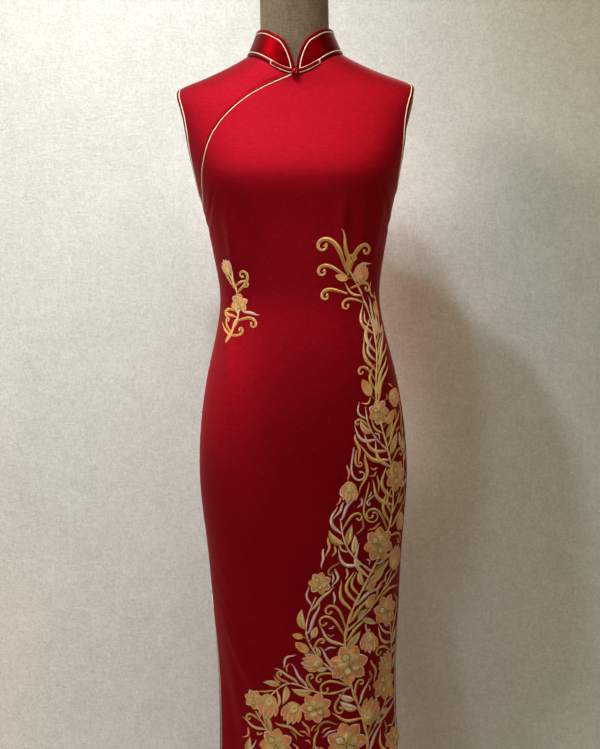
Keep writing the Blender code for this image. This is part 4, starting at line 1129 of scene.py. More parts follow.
@dataclass
class Frog:
    """The straight frog: a woven ball knot, its loop and two flat bars edged in gold."""

    satin: "Finish"
    knot_satin: "Finish"
    cord: "Finish"
    bar_start: float = 0.0056
    bar_length: float = 0.0350
    bar_width: float = 0.0058
    bar_thickness: float = 0.0022
    bar_out: float = 0.0021
    edge_radius: float = 0.00072
    knot_radius: float = 0.0042
    knot_cord: float = 0.00132
    foot_cord: float = 0.0016
    loop_cord: float = 0.00085
    foot_thread: float = 0.00045
    low_thread: float = 0.0005
    leads: int = 3
    bights: int = 4

    def build(self) -> None:
        """Make the knot, its loop and both bars."""
        point, normal, _, _ = COLLAR.lay(np.array(((MIDDLE_FRONT, -NECK.lift),)))
        self.foot, self.out = point[0], normal[0]
        self.centre = self.foot + self.out * (self.knot_radius + self.knot_cord + 0.0012)
        self.build_knot()
        for side, name in ((1, "left"), (-1, "right")):
            self.build_bar(side, name)

    def build_knot(self) -> None:
        """A cord woven over and under itself round a ball, on a short foot."""
        out = self.out
        across = unit(np.cross((0, 0, 1.0), out))
        up = np.cross(out, across)
        t = np.linspace(0, FULL_TURN * self.leads, 210, endpoint=False)
        phase = self.bights * t / self.leads
        lift = math.radians(63) * np.cos(phase)
        reach = self.knot_radius + 0.00058 * np.sin(2 * phase)
        local = np.stack((np.cos(lift) * np.cos(t), np.cos(lift) * np.sin(t), np.sin(lift)), 1)
        local = local * reach[:, None]
        tilt = unit(0.9 * up + 0.44 * out)
        second = np.cross(tilt, across)
        path = (self.centre + local[:, :1] * across + local[:, 1:2] * second
                + local[:, 2:] * tilt)
        draft = MeshDraft()
        tube(draft, path, self.knot_cord, 10, closed=True)
        rings = np.linspace(-0.97, 0.97, 9) * math.pi / 2
        turn = round_turns(16)
        core = self.knot_radius * 0.93
        ball = self.centre + core * (
            (np.cos(rings)[:, None] * np.cos(turn))[..., None] * across
            + (np.cos(rings)[:, None] * np.sin(turn))[..., None] * second
            + (np.sin(rings)[:, None] * np.ones(16))[..., None] * tilt)
        draft.tube(ball, np.zeros((9, 17, 2)))
        foot = np.linspace(0, 1, 6)[:, None]
        stem = self.foot + self.out * 0.0002 + foot * (self.centre - self.foot)
        tube(draft, stem, self.foot_cord, 9)
        draft.finish("ball_knot", (self.knot_satin,), 75, "satin_trim", "frog_knot")

        draft = MeshDraft()
        around = round_turns(40)[:, None]
        ring = (self.foot + self.out * 0.0017 + 0.0024 * (np.cos(around) * across
                                                          + np.sin(around) * up))
        tube(draft, ring, self.foot_thread, 7, closed=True)
        low = self.centre - 0.0052 * tilt
        ring = low + 0.0015 * (np.cos(around) * across + np.sin(around) * second)
        tube(draft, ring, self.low_thread, 7, closed=True)
        draft.finish("ball_knot_gold_thread", (self.cord,), 75, "gold_piping")

        loop = np.linspace(-0.5, 1.5, 44) * math.pi
        sway = pairs(-0.0040 - 0.0040 * np.sin(loop), 0.0033 * np.cos(loop))[::-1]
        sway = np.vstack(((0.0085, 0.0026), (0.0058, 0.0024), sway, (0.0058, -0.0006),
                          (0.0085, -0.0008)))
        sway[:, 0] = np.clip(sway[:, 0], -0.0052, None)
        path = self.foot + self.out * 0.0021 + sway[:, :1] * across + sway[:, 1:] * up
        draft = MeshDraft()
        length = run_length(path)
        line = smooth_line(path, length, np.linspace(0, length[-1], 90))
        tube(draft, line, self.loop_cord, 8)
        draft.finish("ball_knot_loop", (self.satin,), 75, "satin_trim")

    def build_bar(self, side: int, name: str) -> None:
        """One flat bar on the collar's base binding, gold along its lower edge and its end."""
        reach = np.linspace(self.bar_start, self.bar_start + self.bar_length, 60)
        turns = COLLAR.turn_at(reach)
        turns = turns if side > 0 else math.pi - turns
        path = pairs(turns, np.full_like(turns, -0.0002))
        ring = profile_ring(self.bar_width, self.bar_thickness, 5.0, 18)
        draft = MeshDraft()
        swept(draft, COLLAR, path[::side], ring, 0.0, self.bar_out, waver=0.00005)
        draft.finish("frog_band_" + name, (self.satin,), 50, "satin_trim", "frog_bar_" + name)

        end = path[-1]
        bend = np.linspace(0, math.pi / 2, 6)[1:]
        radius = 0.0008
        turn_step = side / float(COLLAR.stretch(end[None])[0])
        corner = pairs(end[0] + turn_step * radius * np.sin(bend),
                       end[1] + radius * (1 - np.cos(bend)))
        rise = np.linspace(0, self.bar_width - radius, 6)[1:]
        up = pairs(np.full_like(rise, corner[-1, 0]), corner[-1, 1] + rise)
        line = np.vstack((path, corner, up))
        point, normal, _, _ = COLLAR.lay(line)
        draft = MeshDraft()
        tube(draft, point + normal * (self.bar_out + 0.0002), self.edge_radius, 9)
        draft.finish("frog_gold_edge_" + name, (self.cord,), 75, "gold_piping")


# ------------------------------------------------------------------ dress form
@dataclass
class DressForm:
    """The linen-covered form and its wooden cap, steel stand and painted base."""

    linen: "Finish"
    seam_thread: "Finish"
    wood: "Finish"
    steel: "Finish"
    paint: "Finish"
    segments: int = 160
    bottom_z: float = 0.720
    neck_top_z: float = 1.520
    neck_half_width: float = 0.0535
    neck_front: float = 0.0520
    neck_back: float = 0.0440
    neck_curve: float = 0.030
    neck_rise: float = 0.004
    cloth_wall: float = 0.0013
    shoulder_z: float = 1.357           # where the rings start to follow the neckline
    seams: tuple[float, ...] = (0, 0.25, 0.5)       # shares of the way round
    air: float = 0.0003                 # between pieces of the stand
    flange_radius: float = 0.036
    flange_thickness: float = 0.004
    socket_radius: float = 0.0240
    socket_height: float = 0.034
    pole_radius: float = 0.014
    hub_radius: float = 0.028
    hub_top_z: float = 0.051
    base_radius: float = 0.190
    base_thickness: float = 0.006
    # Air between the form and the cloth at each height.
    ease: tuple = ((0.72, 0.0060), (0.85, 0.0028), (0.95, 0.0045), (1.04, 0.0045),
                   (1.14, 0.0050), (1.22, 0.0030), (1.30, 0.0020), (1.340, 0.0034),
                   (1.357, 0.0054), (1.367, 0.0054), (1.388, 0.0023), (1.45, 0.0023))
    # Half width of the form at each height of the flat plates that close its arms.
    arm_plate: tuple = ((1.160, 0.1700), (1.205, 0.1535), (1.245, 0.1580), (1.270, 0.1630),
                        (1.288, 0.1680), (1.305, 0.1742), (1.325, 0.1802), (1.345, 0.1855),
                        (1.357, 0.1860), (1.380, 0.1860))
    arm_plate_shift: float = 0.0022
    arm_plate_power: int = 24

    def ring(self, angles: Array, levels: Array) -> Array:
        """One ring of the form, inside the cloth by its wall and the air at that height."""
        point, normal, _, _ = BARE.lay(pairs(angles, levels))
        heights, gaps = np.array(self.ease).T
        ring = point - normal * (self.cloth_wall + np.interp(levels, heights, gaps))[:, None]
        heights, plates = np.array(self.arm_plate).T
        limit = np.interp(levels, heights, plates)
        limit += self.arm_plate_shift * np.sign(ring[:, 0])
        share = np.abs(ring[:, 0]) / limit
        ring[:, 0] /= (1 + share ** self.arm_plate_power) ** (1 / self.arm_plate_power)
        return ring

    def rings(self) -> Array:
        """Rings round the form from its bottom edge up to the top of its neck."""
        angles = round_turns(self.segments)
        turns = np.linspace(MIDDLE_FRONT, MIDDLE_FRONT + FULL_TURN, 721)
        places = NECK.line(turns)
        wrapped = np.mod(angles - MIDDLE_FRONT, FULL_TURN) + MIDDLE_FRONT
        neck_z = np.interp(wrapped, np.unwrap(places[:, 0]), places[:, 1])
        rings = [self.ring(angles, np.full_like(angles, level))
                 for level in np.linspace(self.bottom_z, self.shoulder_z, 72)]
        rings[0][:, 2] = self.bottom_z
        for share in np.linspace(0, 0.96, 18)[1:]:
            rings.append(self.ring(angles, self.shoulder_z
                                   + (neck_z - self.shoulder_z) * share))
        root = rings[-1]
        depth = np.where(np.sin(angles) < 0, self.neck_front, self.neck_back)
        target = pairs(self.neck_half_width * np.cos(angles), depth * np.sin(angles))
        for turn in np.linspace(0, 1, 13)[1:]:
            bend = turn * math.pi / 2
            share = math.sin(bend)
            ring = root.copy()
            ring[:, :2] += (target - root[:, :2]) * share
            ring[:, 2] += self.neck_curve * (1 - math.cos(bend)) + self.neck_rise * share
            rings.append(ring)
        top = rings[-1].copy()
        top[:, 2] = self.neck_top_z
        start = rings[-1]
        for share in np.linspace(0, 1, 14)[1:-1]:
            rings.append(start + (top - start) * share)
        edge = top.copy()
        edge[:, 2] -= 0.0016
        rings.append(edge)
        rim = top.copy()
        rim[:, :2] *= 0.975
        rings.append(rim)
        return np.array(rings)

    def build(self) -> None:
        """Make the form and its stand, and dress them."""
        self.build_torso()
        self.build_cap()
        self.build_stand()

    def build_torso(self) -> None:
        """The padded torso with its linen cover, seamed at the sides and the middles."""
        rings = self.rings()
        middle = rings.mean(axis=1, keepdims=True)
        away = unit((rings - middle) * (1, 1, 0))
        count = rings.shape[1]
        column = np.arange(count)
        dent = np.zeros(count)
        for seam in self.seams:
            gap = np.abs((column / count - seam + 0.5) % 1 - 0.5) * count
            dent += np.exp(-(gap / 0.9) ** 2)
        rings = rings - away * (0.0007 * dent)[None, :, None]
        rings[0] = rings[1] + (rings[0] - rings[1]) * 0.98
        uv = np.empty((len(rings), count + 1, 2))
        closed = np.concatenate((rings, rings[:, :1]), axis=1)
        uv[..., 0] = run_length(closed[40])[None]
        uv[..., 1] = closed[..., 2]
        draft = MeshDraft()
        draft.tube(rings, uv)
        draft.finish("linen_torso", (self.linen,), 50, "form_linen", "form_torso")

        draft = MeshDraft()
        for seam in self.seams:
            line = rings[2:-3, round(seam * count) % count]
            out = away[2:-3, round(seam * count) % count]
            tube(draft, line + out * 0.00015, 0.00035, 5)
        draft.finish("linen_seam_threads", (self.seam_thread,), 80, "form_linen")

    def build_cap(self) -> None:
        """The turned wooden cap on the neck, with a rounded lip and a shallow groove."""
        top = self.rings()[-2]
        profile = ((0.975, 0.0019), (1.005, 0.0022), (1.018, 0.0032), (1.020, 0.0046),
                   (1.016, 0.0058), (1.000, 0.0066), (0.985, 0.0070), (0.978, 0.0076),
                   (0.965, 0.0090), (0.945, 0.0106), (0.915, 0.0117), (0.880, 0.0123),
                   (0.700, 0.0131), (0.400, 0.0136))
        rings = []
        for share, height in profile:
            ring = top.copy()
            ring[:, :2] *= share
            ring[:, 2] += height
            rings.append(ring)
        rings = np.array(rings)
        count = rings.shape[1]
        uv = np.zeros((len(rings), count + 1, 2))
        uv[:, :-1] = rings[..., :2]
        uv[:, -1] = rings[:, 0, :2]
        draft = MeshDraft()
        draft.tube(rings, uv)
        draft.finish("wooden_neck_cap", (self.wood,), 40, "form_wood", "form_neck_cap")

    def turned(self, name: str, node: str, profile: Sequence[tuple[float, float]],
               finish: "Finish", segments: int = 128) -> None:
        """A turned part about the upright axis, from its outer profile read top to bottom.

        Args:
            name: The piece's name.
            node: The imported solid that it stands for.
            profile: Radii and heights from its top to its bottom.
            finish: Its finish.
            segments: Points round it.
        """
        turn = round_turns(segments)
        rows = np.array(profile)
        points = np.stack((rows[:, :1] * np.cos(turn), rows[:, :1] * np.sin(turn),
                           rows[:, 1:] + 0 * turn), axis=2)
        length = run_length(rows)
        uv = np.empty((len(rows), segments + 1, 2))
        uv[..., 0] = np.linspace(0, FULL_TURN, segments + 1)[None] * rows[:, :1].max()
        uv[..., 1] = -length[:, None]
        draft = MeshDraft()
        draft.tube(points, uv)
        draft.finish(name, (finish,), 30, node if finish is self.paint else "form_steel", node)

    def rounded(self, radius: float, high: float, low: float, lip: float) -> list:
        """Profile of a plain drum with both edges rounded."""
        bend = np.linspace(0, math.pi / 2, 6)
        upper = [(radius - lip + lip * math.sin(a), high - lip + lip * math.cos(a)) for a in bend]
        lower = [(radius - lip + lip * math.cos(a), low + lip - lip * math.sin(a)) for a in bend]
        return upper + lower

    def build_stand(self) -> None:
        """The socket under the form, the pole, the hub and the base."""
        top = self.bottom_z - self.air
        socket = self.rounded(self.flange_radius, top, top - self.flange_thickness, 0.0012)
        socket += [(0.0262, top - 0.0050), (0.0246, top - 0.0068), (0.0240, top - 0.0095)]
        socket += self.rounded(self.socket_radius, top - 0.012, top - self.socket_height,
                               0.0012)[6:]
        self.turned("steel_socket", "form_socket", socket, self.steel)
        pole = self.rounded(self.pole_radius, top - self.socket_height - self.air,
                            self.hub_top_z + self.air, 0.0008)
        self.turned("steel_pole", "form_pole", pole, self.steel)
        hub = self.rounded(self.hub_radius, self.hub_top_z, 0.030, 0.003)[:9]
        hub += [(0.0280, 0.0165), (0.0284, 0.0140), (0.0298, 0.0105), (0.0325, 0.0080),
                (0.0338, 0.0070), (0.0338, 0.0063)]
        self.turned("steel_hub", "form_hub", hub, self.steel)
        thick = self.base_thickness
        base = [(0.0345, thick), (0.180, thick)]
        base += self.rounded(self.base_radius, thick, 0.0, 0.0015)
        self.turned("painted_base", "form_base", base, self.paint, 192)


# ------------------------------------------------------------------ shader sums
class Value:
    """A number that varies over a surface: a node's output socket with sums on it."""

    def __init__(self, graph: "Graph", socket: bpy.types.NodeSocket) -> None:
        """Wrap a socket of a graph."""
        self.graph = graph
        self.socket = socket

    def sum(self, operation: str, *others: "Number") -> "Value":
        """A Math node on this value and others."""
        return self.graph.math(operation, self, *others)

    def __add__(self, other: "Number") -> "Value":
        """Plus."""
        return self.sum("ADD", other)

    __radd__ = __add__

    def __sub__(self, other: "Number") -> "Value":
        """Minus."""
        return self.sum("SUBTRACT", other)

    def __rsub__(self, other: float) -> "Value":
        """Taken from a number."""
        return self.graph.math("SUBTRACT", other, self)

    def __mul__(self, other: "Number") -> "Value":
        """Times."""
        return self.sum("MULTIPLY", other)

    __rmul__ = __mul__

    def wave(self) -> "Value":
        """Its sine, moved to run from 0 to 1."""
        return self.sum("SINE") * 0.5 + 0.5

    def clip(self) -> "Value":
        """Kept between 0 and 1."""
        return self.sum("MAXIMUM", 0.0).sum("MINIMUM", 1.0)


Number = Union[Value, float]
Link = Union[Value, bpy.types.NodeSocket, float, tuple]


class Graph:
    """A material's nodes, made through one method."""

    def __init__(self, name: str) -> None:
        """Start an empty material."""
        self.material = bpy.data.materials.new(name)
        self.material.use_nodes = True
        self.nodes = self.material.node_tree.nodes
        self.links = self.material.node_tree.links
        self.nodes.clear()
        self.output = self.nodes.new("ShaderNodeOutputMaterial")

    def make(self, kind: str, settings: Optional[dict] = None,
             inputs: Optional[dict] = None) -> bpy.types.Node:
        """Add a node.

        Args:
            kind: The node's type, without its usual first word.
            settings: Its own settings, which are set first.
            inputs: Values or links of its sockets, by name or number.

        Returns:
            The node.
        """
        node = self.nodes.new("ShaderNode" + kind)
        for key, value in (settings or {}).items():
            setattr(node, key, value)
        for key, value in (inputs or {}).items():
            socket = (node.inputs[key] if isinstance(key, int) else
                      next(s for s in node.inputs if s.name == key and s.enabled))
            if isinstance(value, (Value, bpy.types.NodeSocket)):
                self.links.new(getattr(value, "socket", value), socket)
            elif isinstance(value, tuple) and socket.type == "RGBA":
                socket.default_value = (*value, 1)
            else:
                socket.default_value = value
        return node

    def node(self, kind: str, settings: Optional[dict] = None, inputs: Optional[dict] = None,
             output: Optional[str] = None) -> Value:
        """Add a node and take its first or a named output as a value."""
        outputs = self.make(kind, settings, inputs).outputs
        return Value(self, next(s for s in outputs if s.enabled and output in (None, s.name)))

    def math(self, operation: str, *values: Number) -> Value:
        """A Math node."""
        return self.node("Math", {"operation": operation}, dict(enumerate(values)))

    def mix(self, share: Number, low: Link, high: Link, blend: str = "MIX") -> Value:
        """A mix of two colours."""
        return self.node("Mix", {"data_type": "RGBA", "blend_type": blend},
                         {"Factor": share, "A": low, "B": high})

    def uv(self, name: str) -> tuple[Value, Value]:
        """The two numbers of a UV map."""
        place = self.node("UVMap", {"uv_map": name})
        split = self.make("SeparateXYZ", None, {0: place})
        return Value(self, split.outputs[0]), Value(self, split.outputs[1])

    def speckle(self, scale: tuple[float, float, float], detail: float, rough: float = 0.55,
                distortion: float = 0.0) -> Value:
        """Noise in space, of a fineness along each axis."""
        point = self.node("TexCoord", output="Object")
        where = self.node("Mapping", None, {"Vector": point, "Scale": scale})
        return self.noise(where, detail, rough, distortion)

    def fleck(self, u: Value, v: Value, detail: float, rough: float = 0.55) -> Value:
        """Noise on the cloth."""
        return self.noise(self.node("CombineXYZ", None, {0: u, 1: v}), detail, rough)

    def noise(self, vector: Value, detail: float, rough: float, distortion: float = 0.0) -> Value:
        """Noise around 0.5."""
        return self.node("TexNoise", None, {"Vector": vector, "Scale": 1.0, "Detail": detail,
                                            "Roughness": rough, "Distortion": distortion})

    def bump(self, height: Value, distance: float) -> Value:
        """A bump from a height."""
        return self.node("Bump", None, {"Height": height, "Distance": distance})

    def shade(self, inputs: dict) -> bpy.types.Node:
        """The Principled shader with these sockets, on the material's output."""
        shader = self.make("BsdfPrincipled", None, inputs)
        self.links.new(shader.outputs[0], self.output.inputs[0])
        return shader


class Finish:
    """A surface finish, whose material is made once."""

    name: str

    def material(self) -> bpy.types.Material:
        """The finish's material."""
        made = bpy.data.materials.get(self.name)
        if made is None:
            graph = Graph(self.name)
            self.paint(graph)
            made = graph.material
        return made

    def paint(self, graph: Graph) -> None:
        """Lay the nodes; each finish has its own."""
        raise NotImplementedError


@dataclass(frozen=True)
class Satin(Finish):
    """Heavy red satin with a fine slubby grain."""

    name: str = "red_satin"
    red: Colour = (0.370, 0.0060, 0.0180)       # where its threads shine
    deep: Colour = (0.190, 0.0010, 0.0050)      # between them
    metal: float = 0.96                         # share of its gloss that takes its colour
    rough: float = 0.68
    grain: float = 0.00009                      # depth
    slub: float = 0.16          # how much its roughness varies from thread to thread

    def paint(self, graph: Graph) -> None:
        """Slubs, a fine mottle and the weave's ribs."""
        u, v = graph.uv("cloth")
        slubs = graph.fleck(u * 62, v * 520, 3, 0.65)
        cross = graph.fleck(u * 640, v * 130, 2, 0.6)
        mottle = graph.fleck(u * 330, v * 330, 3, 0.7)
        cloud = graph.fleck(u * 9, v * 7, 2, 0.5)
        grain = slubs * 0.5 + cross * 0.5
        tone = (grain - 0.5) * 1.9 + (mottle - 0.5) * 0.9 + (cloud - 0.5) * 0.3 + 0.5
        colour = graph.mix(tone.clip(), self.deep, self.red)
        rough = self.rough + (grain - 0.5) * self.slub + (cloud - 0.5) * 0.08
        bump = graph.bump(grain + mottle * 0.5, self.grain)
        graph.shade({"Base Color": colour, "Roughness": rough, "Normal": bump,
                     "Metallic": self.metal, "Specular IOR Level": 0.35})


@dataclass(frozen=True)
class GoldCord(Finish):
    """Fine metallic cord, twisted."""

    name: str = "twisted_gold"
    light: Colour = (0.97, 0.84, 0.66)
    dark: Colour = (0.58, 0.40, 0.22)

    def paint(self, graph: Graph) -> None:
        """Strands that run round the cord, with painted shade in the grooves between them and
        random wear.
        """
        u, v = graph.uv("cloth")
        twist = (v * 2900 + u * 1500).wave()
        wear = graph.fleck(u * 300, v * 160, 3)
        # The twist paints shade into the grooves between the strands; the wear noise is random
        # tone.
        share = (twist * 0.6 + wear * 0.55).clip()
        graph.shade({"Base Color": graph.mix(share, self.dark, self.light),
                     "Roughness": 0.46 + (wear - 0.5) * 0.2, "Metallic": 0.55,
                     "Normal": graph.bump(twist, 0.00018)})


@dataclass(frozen=True)
class Linen(Finish):
    """Plain-woven linen."""

    name: str = "woven_linen"
    light: Colour = (0.27, 0.195, 0.125)
    dark: Colour = (0.085, 0.058, 0.036)
    thread: float = 0.00095

    def paint(self, graph: Graph) -> None:
        """Warp and weft over and under, uneven threads and slubs, with painted shade in the gaps
        between threads.
        """
        u, v = graph.uv("cloth")
        turn = math.pi / self.thread
        uneven = graph.fleck(u * 480, v * 50, 3, 0.6)
        uneven_weft = graph.fleck(u * 50, v * 480, 3, 0.6)
        warp = (u * turn + uneven * 2.4).sum("SINE").sum("ABSOLUTE")
        weft = (v * turn + uneven_weft * 2.4).sum("SINE").sum("ABSOLUTE")
        weave = warp * 0.5 + weft * 0.5
        cloud = graph.fleck(u * 14, v * 14, 4)
        # The weave term darkens the gaps between the threads: painted shade; the other terms are
        # random tone.
        tone = (weave * 0.35 + (uneven - 0.5) * 1.5 + (uneven_weft - 0.5) * 1.5
                + (cloud - 0.5) * 0.5 + 0.25)
        colour = graph.mix(tone.clip(), self.dark, self.light)
        graph.shade({"Base Color": colour, "Roughness": 0.92 - 0.08 * weave,
                     "Normal": graph.bump(weave + uneven + uneven_weft, 0.00022),
                     "Specular IOR Level": 0.15, "Sheen Weight": 0.04,
                     "Sheen Roughness": 0.6, "Sheen Tint": (1.0, 0.95, 0.85)})


@dataclass(frozen=True)
class Thread(Finish):
    """Embroidery thread in satin stitch."""

    name: str
    low: Colour                 # at the start of each stitched shape
    high: Colour                # at its end
    metal: float = 0.35
    rough: float = 0.5
    pitch: float = 0.00042      # distance between threads
    slant: float = 0.9          # how far the threads lean along the shape

    def paint(self, graph: Graph) -> None:
        """Threads across each shape, each a little different, with painted shade in the grooves
        between them.
        """
        u, v = graph.uv("cloth")
        share, number = graph.uv("tone")
        lean = v + u.sum("ABSOLUTE") * self.slant
        strand = (lean * (FULL_TURN / self.pitch)).wave()
        each = graph.fleck(lean * 1400, number * 31, 2, 0.7)
        patchy = graph.fleck(v * 160, number * 17, 2)
        mixed = (share + (each - 0.5) * 0.9 + (patchy - 0.5) * 0.4).clip()
        colour = graph.mix(mixed, self.low, self.high)
        # Painted shade: darker in the grooves between the threads, plus a random tone for each
        # thread.
        shade = 0.78 + 0.30 * strand + (each - 0.5) * 0.6
        groove_shade_and_tone = graph.node("CombineColor", None, {0: shade, 1: shade, 2: shade})
        colour = graph.mix(1.0, colour, groove_shade_and_tone, "MULTIPLY")
        graph.shade({"Base Color": colour, "Roughness": self.rough + (each - 0.5) * 0.3,
                     "Metallic": self.metal, "Specular IOR Level": 0.5,
                     "Normal": graph.bump(strand + each, 0.00022)})


@dataclass(frozen=True)
class SewingThread(Finish):
    """Plain matt sewing thread."""

    name: str = "form_seam_thread"
    colour: Colour = (0.30, 0.245, 0.17)

    def paint(self, graph: Graph) -> None:
        """A twisted strand, with painted shade in its twist's grooves."""
        u, v = graph.uv("cloth")
        twist = (v * 5200 + u * 2400).wave()
        # Darker in the twist's grooves: painted shade.
        colour = graph.mix(twist * 0.6, self.colour, tuple(c * 0.6 for c in self.colour))
        graph.shade({"Base Color": colour, "Roughness": 0.8,
                     "Normal": graph.bump(twist, 0.0001)})


@dataclass(frozen=True)
class TurnedWood(Finish):
    """Stained and waxed beech."""

    name: str = "waxed_beech"
    light: Colour = (0.30, 0.165, 0.075)
    dark: Colour = (0.13, 0.062, 0.026)

    def paint(self, graph: Graph) -> None:
        """Long grain, pores and wear."""
        warp = graph.speckle((6, 6, 6), 3)
        grain = graph.speckle((9, 120, 120), 5, 0.6, 0.6)
        pores = graph.speckle((60, 900, 900), 2)
        share = (grain * 1.3 - 0.25 + (warp - 0.5) * 0.5 + (pores - 0.5) * 0.3).clip()
        graph.shade({"Base Color": graph.mix(share, self.dark, self.light),
                     "Roughness": 0.42 + 0.2 * grain, "Coat Weight": 0.25,
                     "Coat Roughness": 0.3, "Normal": graph.bump(grain + pores, 0.0001)})


@dataclass(frozen=True)
class Metal(Finish):
    """Brushed or painted metal."""

    name: str = "brushed_steel"
    light: Colour = (0.60, 0.59, 0.57)
    dark: Colour = (0.40, 0.39, 0.38)       # where it is worn or dull
    metal: float = 1.0
    rough: float = 0.3
    speckle: float = 0.00003                # depth of its texture

    def paint(self, graph: Graph) -> None:
        """Fine marks round the turning, and faint clouds."""
        marks = graph.speckle((35, 35, 2600), 3)
        cloud = graph.speckle((14, 14, 14), 4)
        grit = graph.speckle((900, 900, 900), 2)
        share = ((marks - 0.5) * 0.8 + (cloud - 0.5) * 1.2 + 0.5).clip()
        graph.shade({"Base Color": graph.mix(share, self.dark, self.light),
                     "Roughness": self.rough + (cloud - 0.5) * 0.2 + (marks - 0.5) * 0.1,
                     "Metallic": self.metal,
                     "Normal": graph.bump(marks * 0.5 + grit, self.speckle)})


@dataclass(frozen=True)
class WallCloth(Finish):
    """Pale wall covering with a fibrous mottle, clear from behind."""

    name: str = "wall_covering"
    light: Colour = (0.87, 0.855, 0.815)
    dark: Colour = (0.67, 0.652, 0.608)

    def paint(self, graph: Graph) -> None:
        """Fibres both ways, small specks and large soft clouds."""
        across = graph.speckle((50, 1, 170), 4, 0.7, 1.5)
        upward = graph.speckle((170, 1, 50), 4, 0.7, 1.5)
        speck = graph.speckle((260, 1, 260), 3, 0.75)
        cloud = graph.speckle((14, 1, 14), 6, 0.7)
        tone = ((across - 0.5) * 1.6 + (upward - 0.5) * 1.4 + (speck - 0.5) * 2.2
                + (cloud - 0.5) * 0.8 + 0.5)
        colour = graph.mix(tone.clip(), self.dark, self.light)
        shader = graph.shade({"Base Color": colour, "Roughness": 0.9,
                              "Specular IOR Level": 0.2,
                              "Normal": graph.bump(across + upward + speck * 0.6, 0.0007)})
        behind = graph.node("NewGeometry", output="Backfacing")
        clear = graph.make("BsdfTransparent")
        both = graph.make("MixShader", None, {0: behind, 1: shader.outputs[0],
                                              2: clear.outputs[0]})
        graph.links.new(both.outputs[0], graph.output.inputs[0])


@dataclass(frozen=True)
class PaleFloor(Finish):
    """Plain pale floor."""

    name: str = "pale_floor"
    light: Colour = (0.74, 0.70, 0.63)
    dark: Colour = (0.68, 0.635, 0.56)

    def paint(self, graph: Graph) -> None:
        """Faint clouds and grit."""
        cloud = graph.speckle((3, 3, 3), 4)
        grit = graph.speckle((160, 160, 160), 3)
        share = ((cloud - 0.5) * 1.5 + (grit - 0.5) * 0.5 + 0.5).clip()
        graph.shade({"Base Color": graph.mix(share, self.dark, self.light),
                     "Roughness": 0.75, "Normal": graph.bump(grit, 0.0004)})


# ------------------------------------------------------------------ embroidery
class ThreadColour(Enum):
    """The embroidery's threads."""

    GOLD = "gold"
    OLIVE = "olive"
    CHAMPAGNE = "champagne"
    SILVER = "silver"
    PEACH = "peach"
    CREAM = "cream"


GOLD, OLIVE, CHAMPAGNE, SILVER, PEACH, CREAM = ThreadColour


@dataclass
class Stroke:
    """One stitched shape: a crowned ribbon along a line, flat on the cloth."""

    colour: ThreadColour
    line: Array             # millimetres from the middle of the front and over the floor
    half: Array             # half its width at each point of the line
    crown: float = 0.5      # height of its middle over its edges
    base: float = 0.1       # height of its edges over the cloth

    def normals(self) -> Array:
        """The directions across the line."""
        ahead = tangents(self.line)
        return pairs(-ahead[:, 1], ahead[:, 0])


Motif = list[Stroke]


@dataclass
class StitchGround:
    """The front of the dress laid flat, in millimetres from its middle and over the floor."""

    low: float = 0.09
    high: float = 1.17
    span: int = 300

    def __post_init__(self) -> None:
        """Work out the angle at each place."""
        self.levels = np.linspace(self.low, self.high, 109)
        angles = np.linspace(MIDDLE_FRONT - 2.4, MIDDLE_FRONT + 2.4, 1201)
        want = np.arange(-self.span, self.span + 1) / 1000
        table, reach = [], []
        for z in self.levels:
            length = run_length(BARE.place(angles, np.full_like(angles, z)))
            length -= length[600]
            table.append(np.interp(want, length, angles))
            reach.append(np.interp(0.0, angles, length) * 1000)
        self.table = np.array(table)
        self.reach = np.array(reach)

    def seam_at(self, z: Array) -> Array:
        """Distance of the side seam from the middle of the front."""
        return np.interp(z, self.levels * 1000, self.reach)

    def lay(self, flat: Array, height: Array) -> Array:
        """Points over the cloth.

        Args:
            flat: Places on the flat front.
            height: Heights over the cloth, in millimetres.

        Returns:
            Points in space.
        """
        row = (flat[:, 1] / 1000 - self.low) / (self.high - self.low) * (len(self.levels) - 1)
        row = np.clip(row, 0, len(self.levels) - 1.001)
        column = np.clip(flat[:, 0] + self.span, 0, 2 * self.span - 0.001)
        i, j = row.astype(int), column.astype(int)
        a, b = row - i, column - j
        angle = ((1 - a) * ((1 - b) * self.table[i, j] + b * self.table[i, j + 1])
                 + a * ((1 - b) * self.table[i + 1, j] + b * self.table[i + 1, j + 1]))
        point, normal, _, _ = DRESS.lay(pairs(angle, flat[:, 1] / 1000))
        return point + normal * height[:, None] / 1000


def curve_through(points: Sequence[tuple[float, float]]) -> Array:
    """A smooth line through points on the flat front, read about every three millimetres."""
    knots = np.array(points, dtype=float)
    length = run_length(knots)
    return smooth_line(knots, length, np.linspace(0, length[-1], max(4, round(length[-1] / 3.0))))


def beside(centre: Array, reach: float, way: float) -> Array:
    """The point at a distance from another in one direction."""
    return np.asarray(centre) + reach * np.array((math.cos(way), math.sin(way)))


def bent(start: Array, heading: float, length: float, bend: float, curl: float = 0.0,
         wave: float = 0.0, step: float = 2.4) -> Array:
    """A line that starts in one direction and turns as it goes.

    Args:
        start: Its first point.
        heading: Its first direction.
        length: Its length.
        bend: How far it turns evenly along its length.
        curl: How far it winds up at its end.
        wave: How far it sways to and fro.
        step: Distance between its points.

    Returns:
        The line's points.
    """
    count = int(np.clip(round(length / step), 7, 46))
    s = np.linspace(0, 1, count)
    turn = heading + bend * s + curl * s ** 3.2 + wave * np.sin(FULL_TURN * s)
    steps = pairs(np.cos(turn), np.sin(turn))
    middle = (steps[1:] + steps[:-1]) / 2 * length / (count - 1)
    return np.asarray(start) + np.vstack(((0, 0), np.cumsum(middle, axis=0)))


def tapered(count: int, half: float, swell: float = 0.35, tip: float = 0.12,
            root: float = 0.3) -> Array:
    """Half widths of a ribbon that swells and runs out to a fine tip."""
    s = np.linspace(0, 1, count)
    rise = root + (1 - root) * np.sin(np.clip(s / swell, 0, 1) * math.pi / 2)
    fall = np.cos(np.clip((s - swell) / (1 - swell), 0, 1) * math.pi / 2) ** 0.85
    return half * np.maximum(np.where(s < swell, rise, fall), tip)


